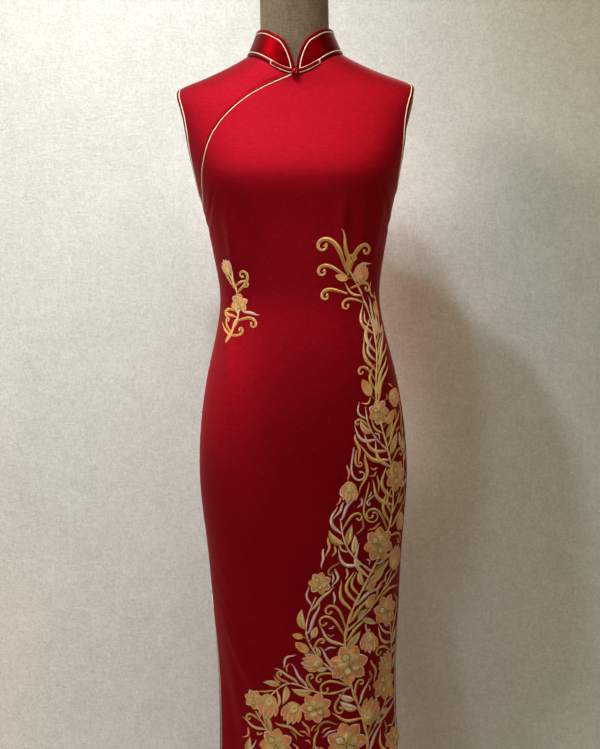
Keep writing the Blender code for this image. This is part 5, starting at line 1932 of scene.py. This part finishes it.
def flame(colour: ThreadColour, start: Array, heading: float, length: float, half: float,
          bend: float, wave: float = 0.35, curl: float = 0.0, base: float = 0.1) -> Motif:
    """A flowing tapered leaf, as one ribbon."""
    line = bent(start, heading, length, bend, curl, wave)
    return [Stroke(colour, line, tapered(len(line), half), 0.28 + 0.16 * half, base)]


def scroll(colour: ThreadColour, start: Array, heading: float, length: float, half: float,
           curl: float, base: float = 0.15) -> Motif:
    """A tendril that winds up to a round knob."""
    line = bent(start, heading, length, -0.25 * curl / 3, curl, step=1.9)
    s = np.linspace(0, 1, len(line))
    width = half * (0.55 + 0.45 * np.sin(np.pi * np.clip(s * 1.15, 0, 1)))
    width = np.maximum(width, half * 1.15 * np.exp(-((s - 1) / 0.06) ** 2))
    return [Stroke(colour, line, width, 0.32 + 0.15 * half, base)]


def petal(fill: ThreadColour, rim: ThreadColour, start: Array, heading: float, length: float,
          half: float, bend: float, base: float, fullness: float = 1.25,
          veins: int = 1, point: float = 0.75) -> Motif:
    """A filled petal with a corded rim and veins.

    Args:
        fill: Thread of its middle.
        rim: Thread of its rim and veins.
        start: Its root.
        heading: Its direction.
        length: Its length.
        half: Half its greatest width.
        bend: How far it turns along its length.
        base: Its height over the cloth.
        fullness: How close to its tip it is widest.
        veins: Number of lines from its root.
        point: How sharp its tip is.

    Returns:
        Its strokes.
    """
    line = bent(start, heading, length, bend, step=max(1.6, length / 12))
    s = np.linspace(0, 1, len(line))
    width = half * np.maximum(np.sin(np.pi * s ** fullness), 0.02) ** point
    body = Stroke(fill, line, width, 0.30 + 0.05 * half, base)
    side = body.normals()
    outline = np.vstack((line - side * width[:, None], (line + side * width[:, None])[-2::-1]))
    cord = Stroke(rim, outline, tapered(len(outline), 0.95, 0.5, 0.5, 0.5), 0.45, base + 0.28)
    made = [body, cord]
    for k in range(veins):
        offset = (k - (veins - 1) / 2) * 0.42 * half
        part = line[:max(5, int(len(line) * 0.62))]
        shift = offset * np.sin(np.linspace(0, math.pi / 2, len(part)))
        vein = part + side[:len(part)] * shift[:, None]
        made.append(Stroke(rim, vein, tapered(len(vein), 0.5, 0.3, 0.3), 0.3, base + 0.5))
    return made


def volute(start: Array, heading: float, length: float, half: float, curl: float,
           base: float = 0.15) -> Motif:
    """A broad gold scroll with a fine olive line along its middle."""
    made = scroll(GOLD, start, heading, length, half, curl, base)
    line, width = made[0].line[2:-2], made[0].half[2:-2]
    return made + [Stroke(OLIVE, line, width * 0.24, 0.3, base + made[0].crown * 0.9)]


def knot(colour: ThreadColour, place: Array, size: float, base: float) -> Motif:
    """A round stitched knot."""
    line = np.asarray(place) + np.outer(np.linspace(-1, 1, 6) * size, (0.8, 0.6))
    half = size * np.sqrt(np.maximum(1 - np.linspace(-0.97, 0.97, 6) ** 2, 0))
    return [Stroke(colour, line, half, 0.55 * size, base)]


def leaf(colours: tuple[ThreadColour, ThreadColour, ThreadColour], start: Array, heading: float,
         length: float, half: float, bend: float, base: float = 0.1) -> Motif:
    """A leaf in two halves with a rib, on a short stalk."""
    line = bent(start, heading, length, bend, wave=0.12, step=max(1.8, length / 14))
    s = np.linspace(0, 1, len(line))
    width = half * np.maximum(np.sin(np.pi * np.clip((s - 0.10) / 0.90, 0, 1) ** 0.8), 0.05)
    side = Stroke(colours[0], line, width).normals()
    made = []
    for sign, colour in ((1, colours[0]), (-1, colours[1])):
        middle = line + side * (sign * width * 0.5)[:, None]
        made.append(Stroke(colour, middle, width * 0.52, 0.30 + 0.04 * half, base))
    made.append(Stroke(colours[2], line, tapered(len(line), 0.55, 0.2, 0.35, 0.8), 0.34,
                       base + 0.25))
    return made


def bud(fill: ThreadColour, rim: ThreadColour, start: Array, heading: float, length: float,
        bend: float) -> Motif:
    """A pointed bud between two sepals on a stalk."""
    stalk = bent(start, heading, 0.35 * length, bend * 0.4, step=1.8)
    made = [Stroke(OLIVE, stalk, np.full(len(stalk), 0.75), 0.4, 0.1)]
    foot = stalk[-1]
    way = heading + bend * 0.4
    made += petal(fill, rim, foot, way, 0.72 * length, 0.19 * length, bend * 0.5, 0.25, 0.8, 1)
    for sign in (1, -1):
        line = bent(foot, way + sign * 0.75, 0.42 * length, -sign * 0.9, step=1.8)
        made.append(Stroke(GOLD, line, tapered(len(line), 0.085 * length, 0.4), 0.45, 0.45))
    return made


def tulip(start: Array, heading: float, length: float, bend: float) -> Motif:
    """A flower from its side: flaring peach petals, a cream heart and gold sepals."""
    made: Motif = []
    for i, off in enumerate((0.66, -0.66, 0.32, -0.32, 0.0)):
        made += petal(PEACH, (GOLD, SILVER, CHAMPAGNE)[i % 3], start, heading + off * 1.25,
                      length * (1.0 - 0.2 * abs(off)), 0.125 * length, bend - off * 1.1,
                      0.1 + 0.14 * i, 1.2, 1, 0.95)
    made += petal(CREAM, GOLD, start, heading, 0.46 * length, 0.15 * length, 0.2, 1.0, 1.1)
    made += knot(GOLD, beside(start, 0.2 * length, heading), 0.06 * length, 1.5)
    for sign in (1, -1):
        line = bent(start, heading + sign * 1.5, 0.55 * length, -sign * 1.7, step=1.8)
        made.append(Stroke(GOLD, line, tapered(len(line), 0.05 * length, 0.4), 0.6, 0.3))
    return made


def blossom(centre: tuple[float, float], radius: float, turn: float,
            petals: tuple[int, int] = (7, 5)) -> Motif:
    """An open flower: peach outer petals, cream inner ones and a knotted middle."""
    middle = np.array(centre, dtype=float)
    made: Motif = []
    for i in range(petals[0]):
        way = turn + FULL_TURN * i / petals[0]
        sway = 0.28 * math.sin(3.1 * i + turn * 5)
        size = radius * (0.80 + 0.05 * math.sin(5.3 * i + turn))
        made += petal(PEACH, GOLD if i % 2 else SILVER, beside(middle, 0.22 * radius, way),
                      way - sway / 2, size, radius * 0.30, sway, 0.10 + 0.05 * (i % 3), 1.15,
                      2, 0.9)
    for i in range(petals[1]):
        way = turn + 0.5 + FULL_TURN * i / petals[1]
        made += petal(CREAM if i % 2 else CHAMPAGNE, OLIVE if i % 2 else GOLD,
                      beside(middle, 0.10 * radius, way), way, radius * 0.50, radius * 0.20,
                      0.2, 0.85 + 0.05 * (i % 2), 1.2, 1)
    for i in range(6):
        place = beside(middle, 0.115 * radius, turn + FULL_TURN * i / 6)
        made += knot(GOLD, place, 0.052 * radius, 1.35)
    made += knot(OLIVE, middle, 0.065 * radius, 1.45)
    return made


@dataclass
class Embroidery:
    """A flowering vine from the wearer's left waist to the hem, and a small spray on the right."""

    finishes: dict[ThreadColour, Finish]
    ground: StitchGround = field(default_factory=StitchGround)
    seed: int = 11              # of the random draws
    cell: float = 0.8           # of the map of what is taken, in millimetres
    # Least and greatest length of the ribbons that fill each part of the free places in turn.
    sizes: tuple = ((44, 80), (30, 54), (18, 34), (10, 20))
    # The vine's left and right limit at each height over the floor: height, left, right.
    region: tuple = ((110, -118, 168), (250, -122, 165), (385, -108, 160), (440, -70, 160),
                     (490, -30, 164), (590, 2, 172), (690, 38, 188), (775, 66, 196),
                     (887, 90, 184), (980, 78, 160), (1040, 60, 138), (1090, 44, 122),
                     (1120, 38, 112), (1145, 40, 104))
    main_stem: tuple = ((-64, 126), (8, 168), (74, 250), (96, 340), (70, 430), (62, 520),
                        (106, 612), (146, 700), (140, 800), (120, 890), (126, 965),
                        (104, 1035), (74, 1088))
    branches: tuple = (
        ((74, 250), (30, 296), (-34, 330), (-84, 392)),
        ((8, 168), (-46, 212), (-92, 262), (-104, 318)),
        ((96, 340), (136, 400), (150, 470), (138, 538)),
        ((74, 250), (118, 268), (146, 318)),
        ((70, 430), (28, 470), (0, 520), (16, 578)),
        ((70, 430), (20, 424), (-30, 440), (-58, 420)),
        ((62, 520), (110, 560), (150, 610)),
        ((106, 612), (66, 654), (56, 700)),
        ((146, 700), (176, 752), (180, 820)),
        ((140, 800), (106, 840), (100, 872)),
        ((126, 965), (140, 1000), (128, 1046)),
    )
    blossoms: tuple = ((66, 468, 31, 0.2), (134, 545, 25, 1.1), (120, 655, 27, 0.6),
                       (158, 760, 24, 0.1), (124, 862, 19, 0.9), (22, 600, 17, 0.4),
                       (-52, 340, 27, 0.5), (60, 340, 33, 0.9), (132, 425, 25, 0.3),
                       (12, 400, 24, 1.3), (-86, 412, 16, 0.2), (150, 330, 20, 0.8),
                       (-20, 230, 34, 0.4), (96, 205, 34, 1.2), (-92, 215, 26, 0.7),
                       (30, 285, 22, 0.2), (60, 148, 26, 0.3), (-66, 145, 22, 1.0))
    # Each volute's start from the vine's top, its heading, length, half width and curl.
    volutes: tuple = (((0, -8), 2.0, 104, 3.3, 7.4), ((3, -10), 1.2, 84, 2.9, -7.0),
                      ((-1, -16), 2.6, 74, 2.7, 7.2), ((6, -34), 0.3, 56, 2.3, -6.8),
                      ((0, -42), 2.9, 66, 2.5, 7.0), ((2, -14), 1.6, 50, 2.3, -6.4))
    # The right-hand spray's volutes, from places on the flat front.
    sprays: tuple = (((-104, 1046), 0.8, 66, 2.3, 6.8), ((-106, 1006), 0.2, 60, 2.2, -6.8),
                     ((-110, 1062), 2.2, 46, 2.1, -6.4), ((-114, 990), 2.2, 36, 1.9, -6.2),
                     ((-100, 1022), 3.0, 44, 2.0, 6.4), ((-116, 984), 0.1, 42, 1.9, 6.6),
                     ((-108, 1058), 0.5, 44, 2.0, -6.4))

    def build(self) -> None:
        """Draw the design and stitch each thread as a piece of its own."""
        self.draw = np.random.default_rng(self.seed)
        self.taken = np.zeros((620, 1400), dtype=bool)
        self.strokes: list[Stroke] = []
        stems = [curve_through(self.main_stem)] + [curve_through(b) for b in self.branches]
        for x, z, radius, turn in self.blossoms:
            self.keep(blossom((x, z), radius, turn))
        for number, stem in enumerate(stems):
            self.stem(stem, number == 0)
        self.crest()
        for number, stem in enumerate(stems):
            self.clothe(stem, number == 0)
        self.fill(stems)
        self.spray()
        self.stitch()

    # -------------------------------------------------------------- where things are
    def cells(self, stroke: Stroke, margin: float) -> tuple[Array, Array]:
        """The cells of the flat front that a stroke covers."""
        length = run_length(stroke.line)
        count = max(3, int(length[-1] / self.cell))
        want = np.linspace(0, length[-1], count)
        line = read_pairs(want, length, stroke.line)
        half = np.interp(want, length, stroke.half) + margin
        side = Stroke(stroke.colour, line, half).normals()
        shares = np.linspace(-1, 1, max(3, int(2 * half.max() / self.cell) + 1))
        spots = line[:, None] + side[:, None] * (half[:, None] * shares)[..., None]
        spots = ((spots - (-200, 60)) / self.cell).astype(int).reshape(-1, 2)
        return np.clip(spots[:, 0], 0, 619), np.clip(spots[:, 1], 0, 1399)

    def limits(self, z: Array) -> Array:
        """The vine's left and right limit at heights over the floor."""
        rows = np.array(self.region, dtype=float)
        return read_pairs(z, rows[:, 0], rows[:, 1:]).T

    def keep(self, motif: Motif) -> None:
        """Keep a motif and mark its place as taken."""
        self.strokes += motif
        for stroke in motif:
            self.taken[self.cells(stroke, 0.25)] = True

    def clash(self, motif: Motif) -> float:
        """Share of a motif that lies on others or outside the design's limits."""
        hits, total = 0.0, 0
        for stroke in motif:
            i, j = self.cells(stroke, 0.75)
            hits += float(self.taken[i, j].sum())
            x, z = stroke.line.T
            left, right = self.limits(z)
            outside = (x < left) | (x > np.minimum(right, self.ground.seam_at(z) - 17))
            outside |= (z < 116) | (z > 1150)
            hits += outside.mean() * len(i) * 2
            total += len(i)
        return hits / total

    def best(self, motifs: Sequence[Motif], limit: float) -> None:
        """Keep the motif with the least clash, if it is under a limit."""
        scored = [(self.clash(motif), k, motif) for k, motif in enumerate(motifs)]
        score, _, motif = min(scored, key=lambda row: row[:2])
        if score <= limit:
            self.keep(motif)

    # -------------------------------------------------------------- parts of the design
    def stem(self, line: Array, thick: bool) -> None:
        """A stem of two strands that twine round each other."""
        length = run_length(line)
        side = Stroke(GOLD, line, length).normals()
        part = length / length[-1]
        reach = (1.7 if thick else 1.0) * (1 - 0.55 * part)
        half = (1.5 if thick else 1.05) * (1 - 0.45 * part)
        twine = length / (8.5 if thick else 6.5)
        for sign, colour in ((1, GOLD), (-1, CHAMPAGNE if thick else SILVER)):
            sway = sign * reach * np.sin(twine)
            height = 0.15 + 0.22 * (1 + sign * np.cos(twine))
            self.keep([Stroke(colour, line + side * sway[:, None], half, 0.5,
                              float(height.mean()))])

    def crest(self) -> None:
        """Scrolls and buds at the vine's upper end."""
        top = np.array(self.main_stem[-1], dtype=float)
        for offset, heading, length, half, curl in self.volutes:
            self.keep(volute(top + offset, heading, length, half, curl))
        self.keep(flame(GOLD, top + (4, -3), 1.35, 62, 3.4, 0.9))
        self.keep(tulip(top + (17, -24), 0.9, 30, 0.3))
        self.keep(flame(SILVER, top + (9, -16), 0.9, 44, 2.4, -0.8))

    def clothe(self, line: Array, thick: bool) -> None:
        """Leaves, scrolls and buds along a stem, on both sides in turn."""
        length = run_length(line)
        ahead = tangents(line)
        place = 9.0
        side = 1
        greens = ((GOLD, CHAMPAGNE, OLIVE), (OLIVE, GOLD, CHAMPAGNE), (CHAMPAGNE, SILVER, GOLD))
        while place < length[-1] - 4:
            k = int(np.searchsorted(length, place))
            start, way = line[k], heading_of(ahead[k])
            kind = self.draw.random()
            options = []
            for _ in range(9):
                off = side * self.draw.uniform(0.45, 1.25)
                bend = -side * self.draw.uniform(0.1, 1.3)
                size = self.draw.uniform(22, 44) * (1.0 if thick else 0.85)
                if kind < 0.20:
                    options.append(leaf(greens[int(kind * 50) % 3], start, way + off, size,
                                        size * 0.155, bend))
                elif kind < 0.58:
                    options.append(flame((GOLD, SILVER, CHAMPAGNE)[int(kind * 40) % 3], start,
                                         way + off, size * 1.55, size * 0.072, bend * 1.3))
                elif kind < 0.74:
                    options.append(volute(start, way + off, size * 1.9, 1.9, side * 6.4))
                elif kind < 0.92:
                    options.append(tulip(start, way + off, size * 1.05, bend * 0.6))
                else:
                    options.append(bud(PEACH, (GOLD, SILVER)[int(kind * 100) % 2], start,
                                       way + off, size * 0.9, bend * 0.5))
            self.best(options, 0.22)
            place += self.draw.uniform(5, 9)
            side = -side
        if not thick:
            way = heading_of(ahead[-1])
            self.best([tulip(line[-1], way + off, 40, 0.2) for off in (-0.5, -0.2, 0.1, 0.4)],
                      0.3)

    def fill(self, stems: Sequence[Array]) -> None:
        """Flowing ribbons in what is left free, from the nearest stem outward."""
        every = np.vstack(stems)
        ways = np.vstack([tangents(stem) for stem in stems])
        colours = (GOLD, SILVER, PEACH, GOLD, OLIVE, SILVER, PEACH)
        for turn in range(1700):
            z = float(self.draw.uniform(118, 905))
            x = float(self.draw.uniform(*self.limits(np.array((z,)))[:, 0]))
            gap = every - (x, z)
            near = int(np.argmin((gap ** 2).sum(axis=1)))
            away = heading_of(-gap[near])
            flow = heading_of(ways[near])
            mean = math.atan2(math.sin(away) - 0.7 * math.sin(flow) - 0.5,
                              math.cos(away) - 0.7 * math.cos(flow) - 0.5)
            low, high = self.sizes[min(turn // 430, 3)]
            size = float(self.draw.uniform(low, high))
            colour = colours[turn % 7]
            options = []
            for _ in range(5):
                way = mean + self.draw.uniform(-0.7, 0.7)
                bend = self.draw.uniform(-1.1, 1.1)
                if turn < 430 and turn % 3 == 0:
                    options.append(tulip((x, z), way, size * 0.62, bend * 0.5))
                elif turn % 9 == 4:
                    options.append(scroll(colour, (x, z), way, size * 1.3, 1.5,
                                          math.copysign(6.0, bend)))
                else:
                    options.append(flame(colour, (x, z), way, size, 1.1 + size * 0.024, bend,
                                         0.5))
            self.best(options, 0.05)

    def spray(self) -> None:
        """The small spray at the wearer's right waist."""
        rows = self.region
        self.region = ((100, -140, -60), (1160, -140, -60))
        line = curve_through(((-123, 974), (-106, 1000), (-98, 1036), (-114, 1078)))
        self.stem(line, True)
        for place, heading, length, half, curl in self.sprays:
            self.keep(volute(place, heading, length, half, curl))
        self.keep(blossom((-98, 1034), 15, 0.3, (6, 5)))
        self.keep(tulip((-114, 1078), 1.9, 26, 0.3))
        for colour, place, heading in ((PEACH, (-104, 1012), 2.4), (SILVER, (-112, 992), 0.7),
                                       (CHAMPAGNE, (-108, 1058), 1.2), (PEACH, (-116, 984), 2.0),
                                       (SILVER, (-92, 1022), -0.6)):
            self.keep(flame(colour, place, heading, 30, 2.2, 0.8))
        self.region = rows

    # -------------------------------------------------------------- stitching
    def stitch(self) -> None:
        """Make one piece of each thread's strokes."""
        section = np.array(((-1, 0.10), (-0.62, 0.74), (0, 1.0), (0.62, 0.74), (1, 0.10)))
        for colour, finish in self.finishes.items():
            chosen = [s for s in self.strokes if s.colour is colour]
            draft = MeshDraft()
            flats, heights = [], []
            for number, stroke in enumerate(chosen):
                side = stroke.normals()
                half = stroke.half[:, None]
                flat = stroke.line[:, None] + side[:, None] * (half * section[:, 0])[..., None]
                height = stroke.base + stroke.crown * np.minimum(
                    1, stroke.half / 0.5)[:, None] * section[:, 1]
                flat = np.concatenate((flat, stroke.line[:, None]), axis=1)
                height = np.concatenate((height, np.full((len(flat), 1), -0.15)), axis=1)
                flats.append(flat.reshape(-1, 2))
                heights.append(height.ravel())
                rows, columns = flat.shape[:2]
                uv = np.zeros((rows, columns + 1, 2))
                uv[:, :5, 0] = half * section[:, 0] / 1000
                uv[..., 1] = run_length(stroke.line)[:, None] / 1000
                tone = np.zeros_like(uv)
                tone[..., 0] = np.linspace(0, 1, rows)[:, None]
                tone[..., 1] = (number * 0.618034) % 1
                draft.count += rows * columns
                draft.tube(flat, uv, tone, start=draft.count - rows * columns)
            draft.points = [self.ground.lay(np.vstack(flats), np.concatenate(heights))]
            draft.finish("embroidery_" + colour.value, (finish,), 75)


# ------------------------------------------------------------------ the piece itself
@dataclass
class Dress:
    """The dress's panels, trims, collar and frog."""

    satin: Finish
    lining: Finish
    trims: Trims
    collar: Collar
    frog: Frog
    pattern: Pattern = field(default_factory=Pattern)

    def build(self) -> None:
        """Make every piece of the dress."""
        pattern = self.pattern
        bound = []
        for side, name in ((1, "armhole_left"), (-1, "armhole_right")):
            ring = pattern.armhole(side)
            ring = DRESS.resample(np.vstack((ring, ring[:1])), 240)[:-1]
            bound += self.trims.edge(name, DRESS, ring, closed=True)
        bound += self.trims.edge("opening", DRESS, pattern.opening_edge(),
                                 fits=(self.fit_opening,) * 2)
        front_path, front_grow = pattern.skirt_edge(Face.FRONT)
        bound += self.trims.edge("skirt_front", DRESS, front_path, grow=front_grow)
        back_path, back_grow = pattern.skirt_edge(Face.BACK)
        back_bound = self.trims.edge("skirt_back", DRESS, back_path, grow=back_grow)
        self.panel("front_satin", "front", pattern.front(), (False, True), (0.50, 1.32), 0.555,
                   bound)
        self.panel("front_under_satin", "front_under", pattern.front_under(), (True, True),
                   (0.21, 0.27), 0.022, ())
        self.panel("back_satin", "back", pattern.back(), (False, True), (0.52, 1.34), 0.600,
                   back_bound)
        self.collar.build()
        self.frog.build()

    def fit_opening(self, path: Array) -> Array:
        """A line beside the opening, cut to length and paced out evenly."""
        return DRESS.resample(self.pattern.between_seams(path), 150)

    def panel(self, name: str, node: str, places: Array, sink_rows: tuple[bool, bool],
              flat: tuple[float, float], area: float, trims: Sequence) -> None:
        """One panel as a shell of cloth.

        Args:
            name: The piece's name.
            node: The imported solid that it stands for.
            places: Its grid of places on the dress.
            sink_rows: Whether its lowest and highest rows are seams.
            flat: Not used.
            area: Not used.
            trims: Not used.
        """
        shell = ClothShell(name, DRESS, places, sink_rows)
        made = shell.build((self.satin, self.lining), node)


@dataclass(frozen=True)
class Lamp:
    """A lamp of the studio: a spotlight when it has a beam, and otherwise a round soft light."""

    name: str
    place: tuple[float, float, float]
    aim: tuple[float, float, float]
    size: float             # its diameter
    power: float            # in watts
    colour: Colour
    beam: float = 0.0       # in degrees

    def hang(self) -> None:
        """Make the lamp and turn it to its aim."""
        lamp = bpy.data.lights.new(self.name, "SPOT" if self.beam else "AREA")
        lamp.energy = self.power
        lamp.color = self.colour
        if self.beam:
            lamp.spot_size = math.radians(self.beam)
            lamp.spot_blend = 1.0
            lamp.shadow_soft_size = self.size / 2
        else:
            lamp.shape = "DISK"
            lamp.size = self.size
        made = bpy.data.objects.new(self.name, lamp)
        made.location = self.place
        aim = Vector(self.aim) - Vector(self.place)
        made.rotation_euler = aim.to_track_quat("-Z", "Y").to_euler()
        bpy.context.scene.collection.objects.link(made)


LAMPS = (
    Lamp("ceiling_spot_near", (-0.2754, -0.9377, 2.85), (-0.55, 0.26, 1.35), 0.12, 87,
         (0.73, 0.865, 1.0), 64),
    Lamp("ceiling_spot_left", (-0.5557, -0.7377, 2.85), (-0.10, 0.0, 1.1), 0.12, 82,
         (0.84, 0.967, 1.0), 50),
    Lamp("ceiling_spot_right", (1.1, -1.1, 2.85), (0.10, -0.03, 1.18), 0.3, 112,
         (1.0, 0.62, 0.44), 17),
    Lamp("hip_spot", (-1.3, -0.5, 2.2), (-0.15, -0.05, 0.93), 0.1, 140, (1.0, 0.85, 0.75), 7.5),
    Lamp("waist_fill", (-0.1, -2.6, 1.0), (-0.02, 0.0, 1.22), 0.3, 150, (1.0, 0.9, 0.8), 6.6),
    Lamp("left_wash", (-1.7, -1.0, 2.6), (-0.4, 0.26, 1.0), 0.4, 30, (1.0, 0.915, 0.846)),
    Lamp("ceiling_fill", (0.0, -1.2, 3.2), (0.0, 0.0, 0.9), 2.4, 24, (1.0, 0.93, 0.62)),
    Lamp("rear_fill", (0.9, 2.6, 2.6), (0.0, 0.0, 0.9), 1.6, 30, (1.0, 0.95, 0.88)),
)


@dataclass
class Studio:
    """The wall, the floor, the lights and the camera."""

    wall: Finish
    floor: Finish
    wall_y: float = 0.262
    camera_place: tuple = (0.0016, -2.24, 1.1122)
    pitch: float = 85.0
    roll: float = 1.12
    lens: float = 67.8

    def build(self) -> None:
        """Make the stage, the lights and the camera."""
        self.plane("wall_behind", self.wall, ((-3.5, self.wall_y, 0), (3.5, self.wall_y, 0),
                                              (3.5, self.wall_y, 4), (-3.5, self.wall_y, 4)),
                   False)
        self.plane("pale_floor", self.floor, ((-4, -4, 0), (4, -4, 0), (4, 4, 0), (-4, 4, 0)),
                   True)
        for lamp in LAMPS:
            lamp.hang()
        self.world()
        self.camera()

    def plane(self, name: str, finish: Finish, corners: Sequence, shadow: bool) -> None:
        """One flat piece of the stage."""
        mesh = bpy.data.meshes.new(name)
        mesh.from_pydata(corners, [], [(0, 1, 2, 3)])
        mesh.materials.append(finish.material())
        made = bpy.data.objects.new(name, mesh)
        made.visible_shadow = shadow
        bpy.context.scene.collection.objects.link(made)

    def world(self) -> None:
        """A pale warm surrounding at low strength."""
        world = bpy.data.worlds.new("room")
        world.use_nodes = True
        background = world.node_tree.nodes["Background"]
        background.inputs["Color"].default_value = (1.0, 0.74, 0.52, 1)
        background.inputs["Strength"].default_value = 0.035
        bpy.context.scene.world = world

    def camera(self) -> None:
        """The camera, a little above the waist and tipped slightly down."""
        lens = bpy.data.cameras.new("view")
        lens.lens = self.lens
        lens.sensor_width = 36
        lens.clip_start = 0.05
        made = bpy.data.objects.new("view", lens)
        made.location = self.camera_place
        made.rotation_euler = (math.radians(self.pitch), math.radians(self.roll), 0)
        bpy.context.scene.collection.objects.link(made)
        bpy.context.scene.camera = made


def main() -> None:
    """Build the dress, its form and the studio."""
    logging.basicConfig(level=logging.INFO, format="%(name)s: %(message)s")
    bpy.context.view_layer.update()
    view = bpy.context.scene.view_settings
    view.view_transform = "Standard"
    view.look = "None"

    satin = Satin()
    trim_satin = Satin("trim_satin", (0.20, 0.0012, 0.004), (0.12, 0.0006, 0.002), 1.0, 0.50,
                       0.00005, 0.10)
    # The collar's satin is the dress satin made darker: painted shade, for the upright collar
    # standing in shade.
    collar_satin_painted_shade = Satin("collar_satin_painted_shade", (0.20, 0.0008, 0.003), (0.11, 0.0004, 0.0015), 1.0,
                         0.46, 0.00005, 0.10)
    lining = Satin("lining_satin", (0.20, 0.003, 0.007), (0.15, 0.002, 0.005), 0.8, 0.55,
                   0.00003, 0.06)
    knot_satin = Satin("knot_satin", (0.36, 0.004, 0.007), (0.24, 0.002, 0.005), 0.8, 0.30,
                       0.00004, 0.06)
    gold = GoldCord()
    trims = Trims(trim_satin, gold)
    Dress(satin, lining, trims, Collar(trims, collar_satin_painted_shade, lining),
          Frog(trim_satin, knot_satin, gold)).build()
    Embroidery({
        ThreadColour.GOLD: Thread("thread_gold", (0.78, 0.42, 0.09), (0.98, 0.66, 0.24)),
        ThreadColour.OLIVE: Thread("thread_olive", (0.36, 0.22, 0.05), (0.56, 0.38, 0.11)),
        ThreadColour.CHAMPAGNE: Thread("thread_champagne", (0.82, 0.48, 0.20),
                                       (0.98, 0.74, 0.42)),
        ThreadColour.SILVER: Thread("thread_silver", (0.74, 0.52, 0.45), (0.98, 0.78, 0.68)),
        ThreadColour.PEACH: Thread("thread_peach", (0.98, 0.50, 0.16), (0.98, 0.27, 0.065),
                                   0.15),
        ThreadColour.CREAM: Thread("thread_cream", (0.95, 0.68, 0.27), (0.98, 0.87, 0.52), 0.15),
    }).build()
    DressForm(Linen(), SewingThread(), TurnedWood(), Metal(),
              Metal("base_paint", (0.075, 0.075, 0.078), (0.05, 0.05, 0.052), 0.3, 0.46,
                    0.00012)).build()
    Studio(WallCloth(), PaleFloor()).build()


if __name__ == "__main__":
    main()
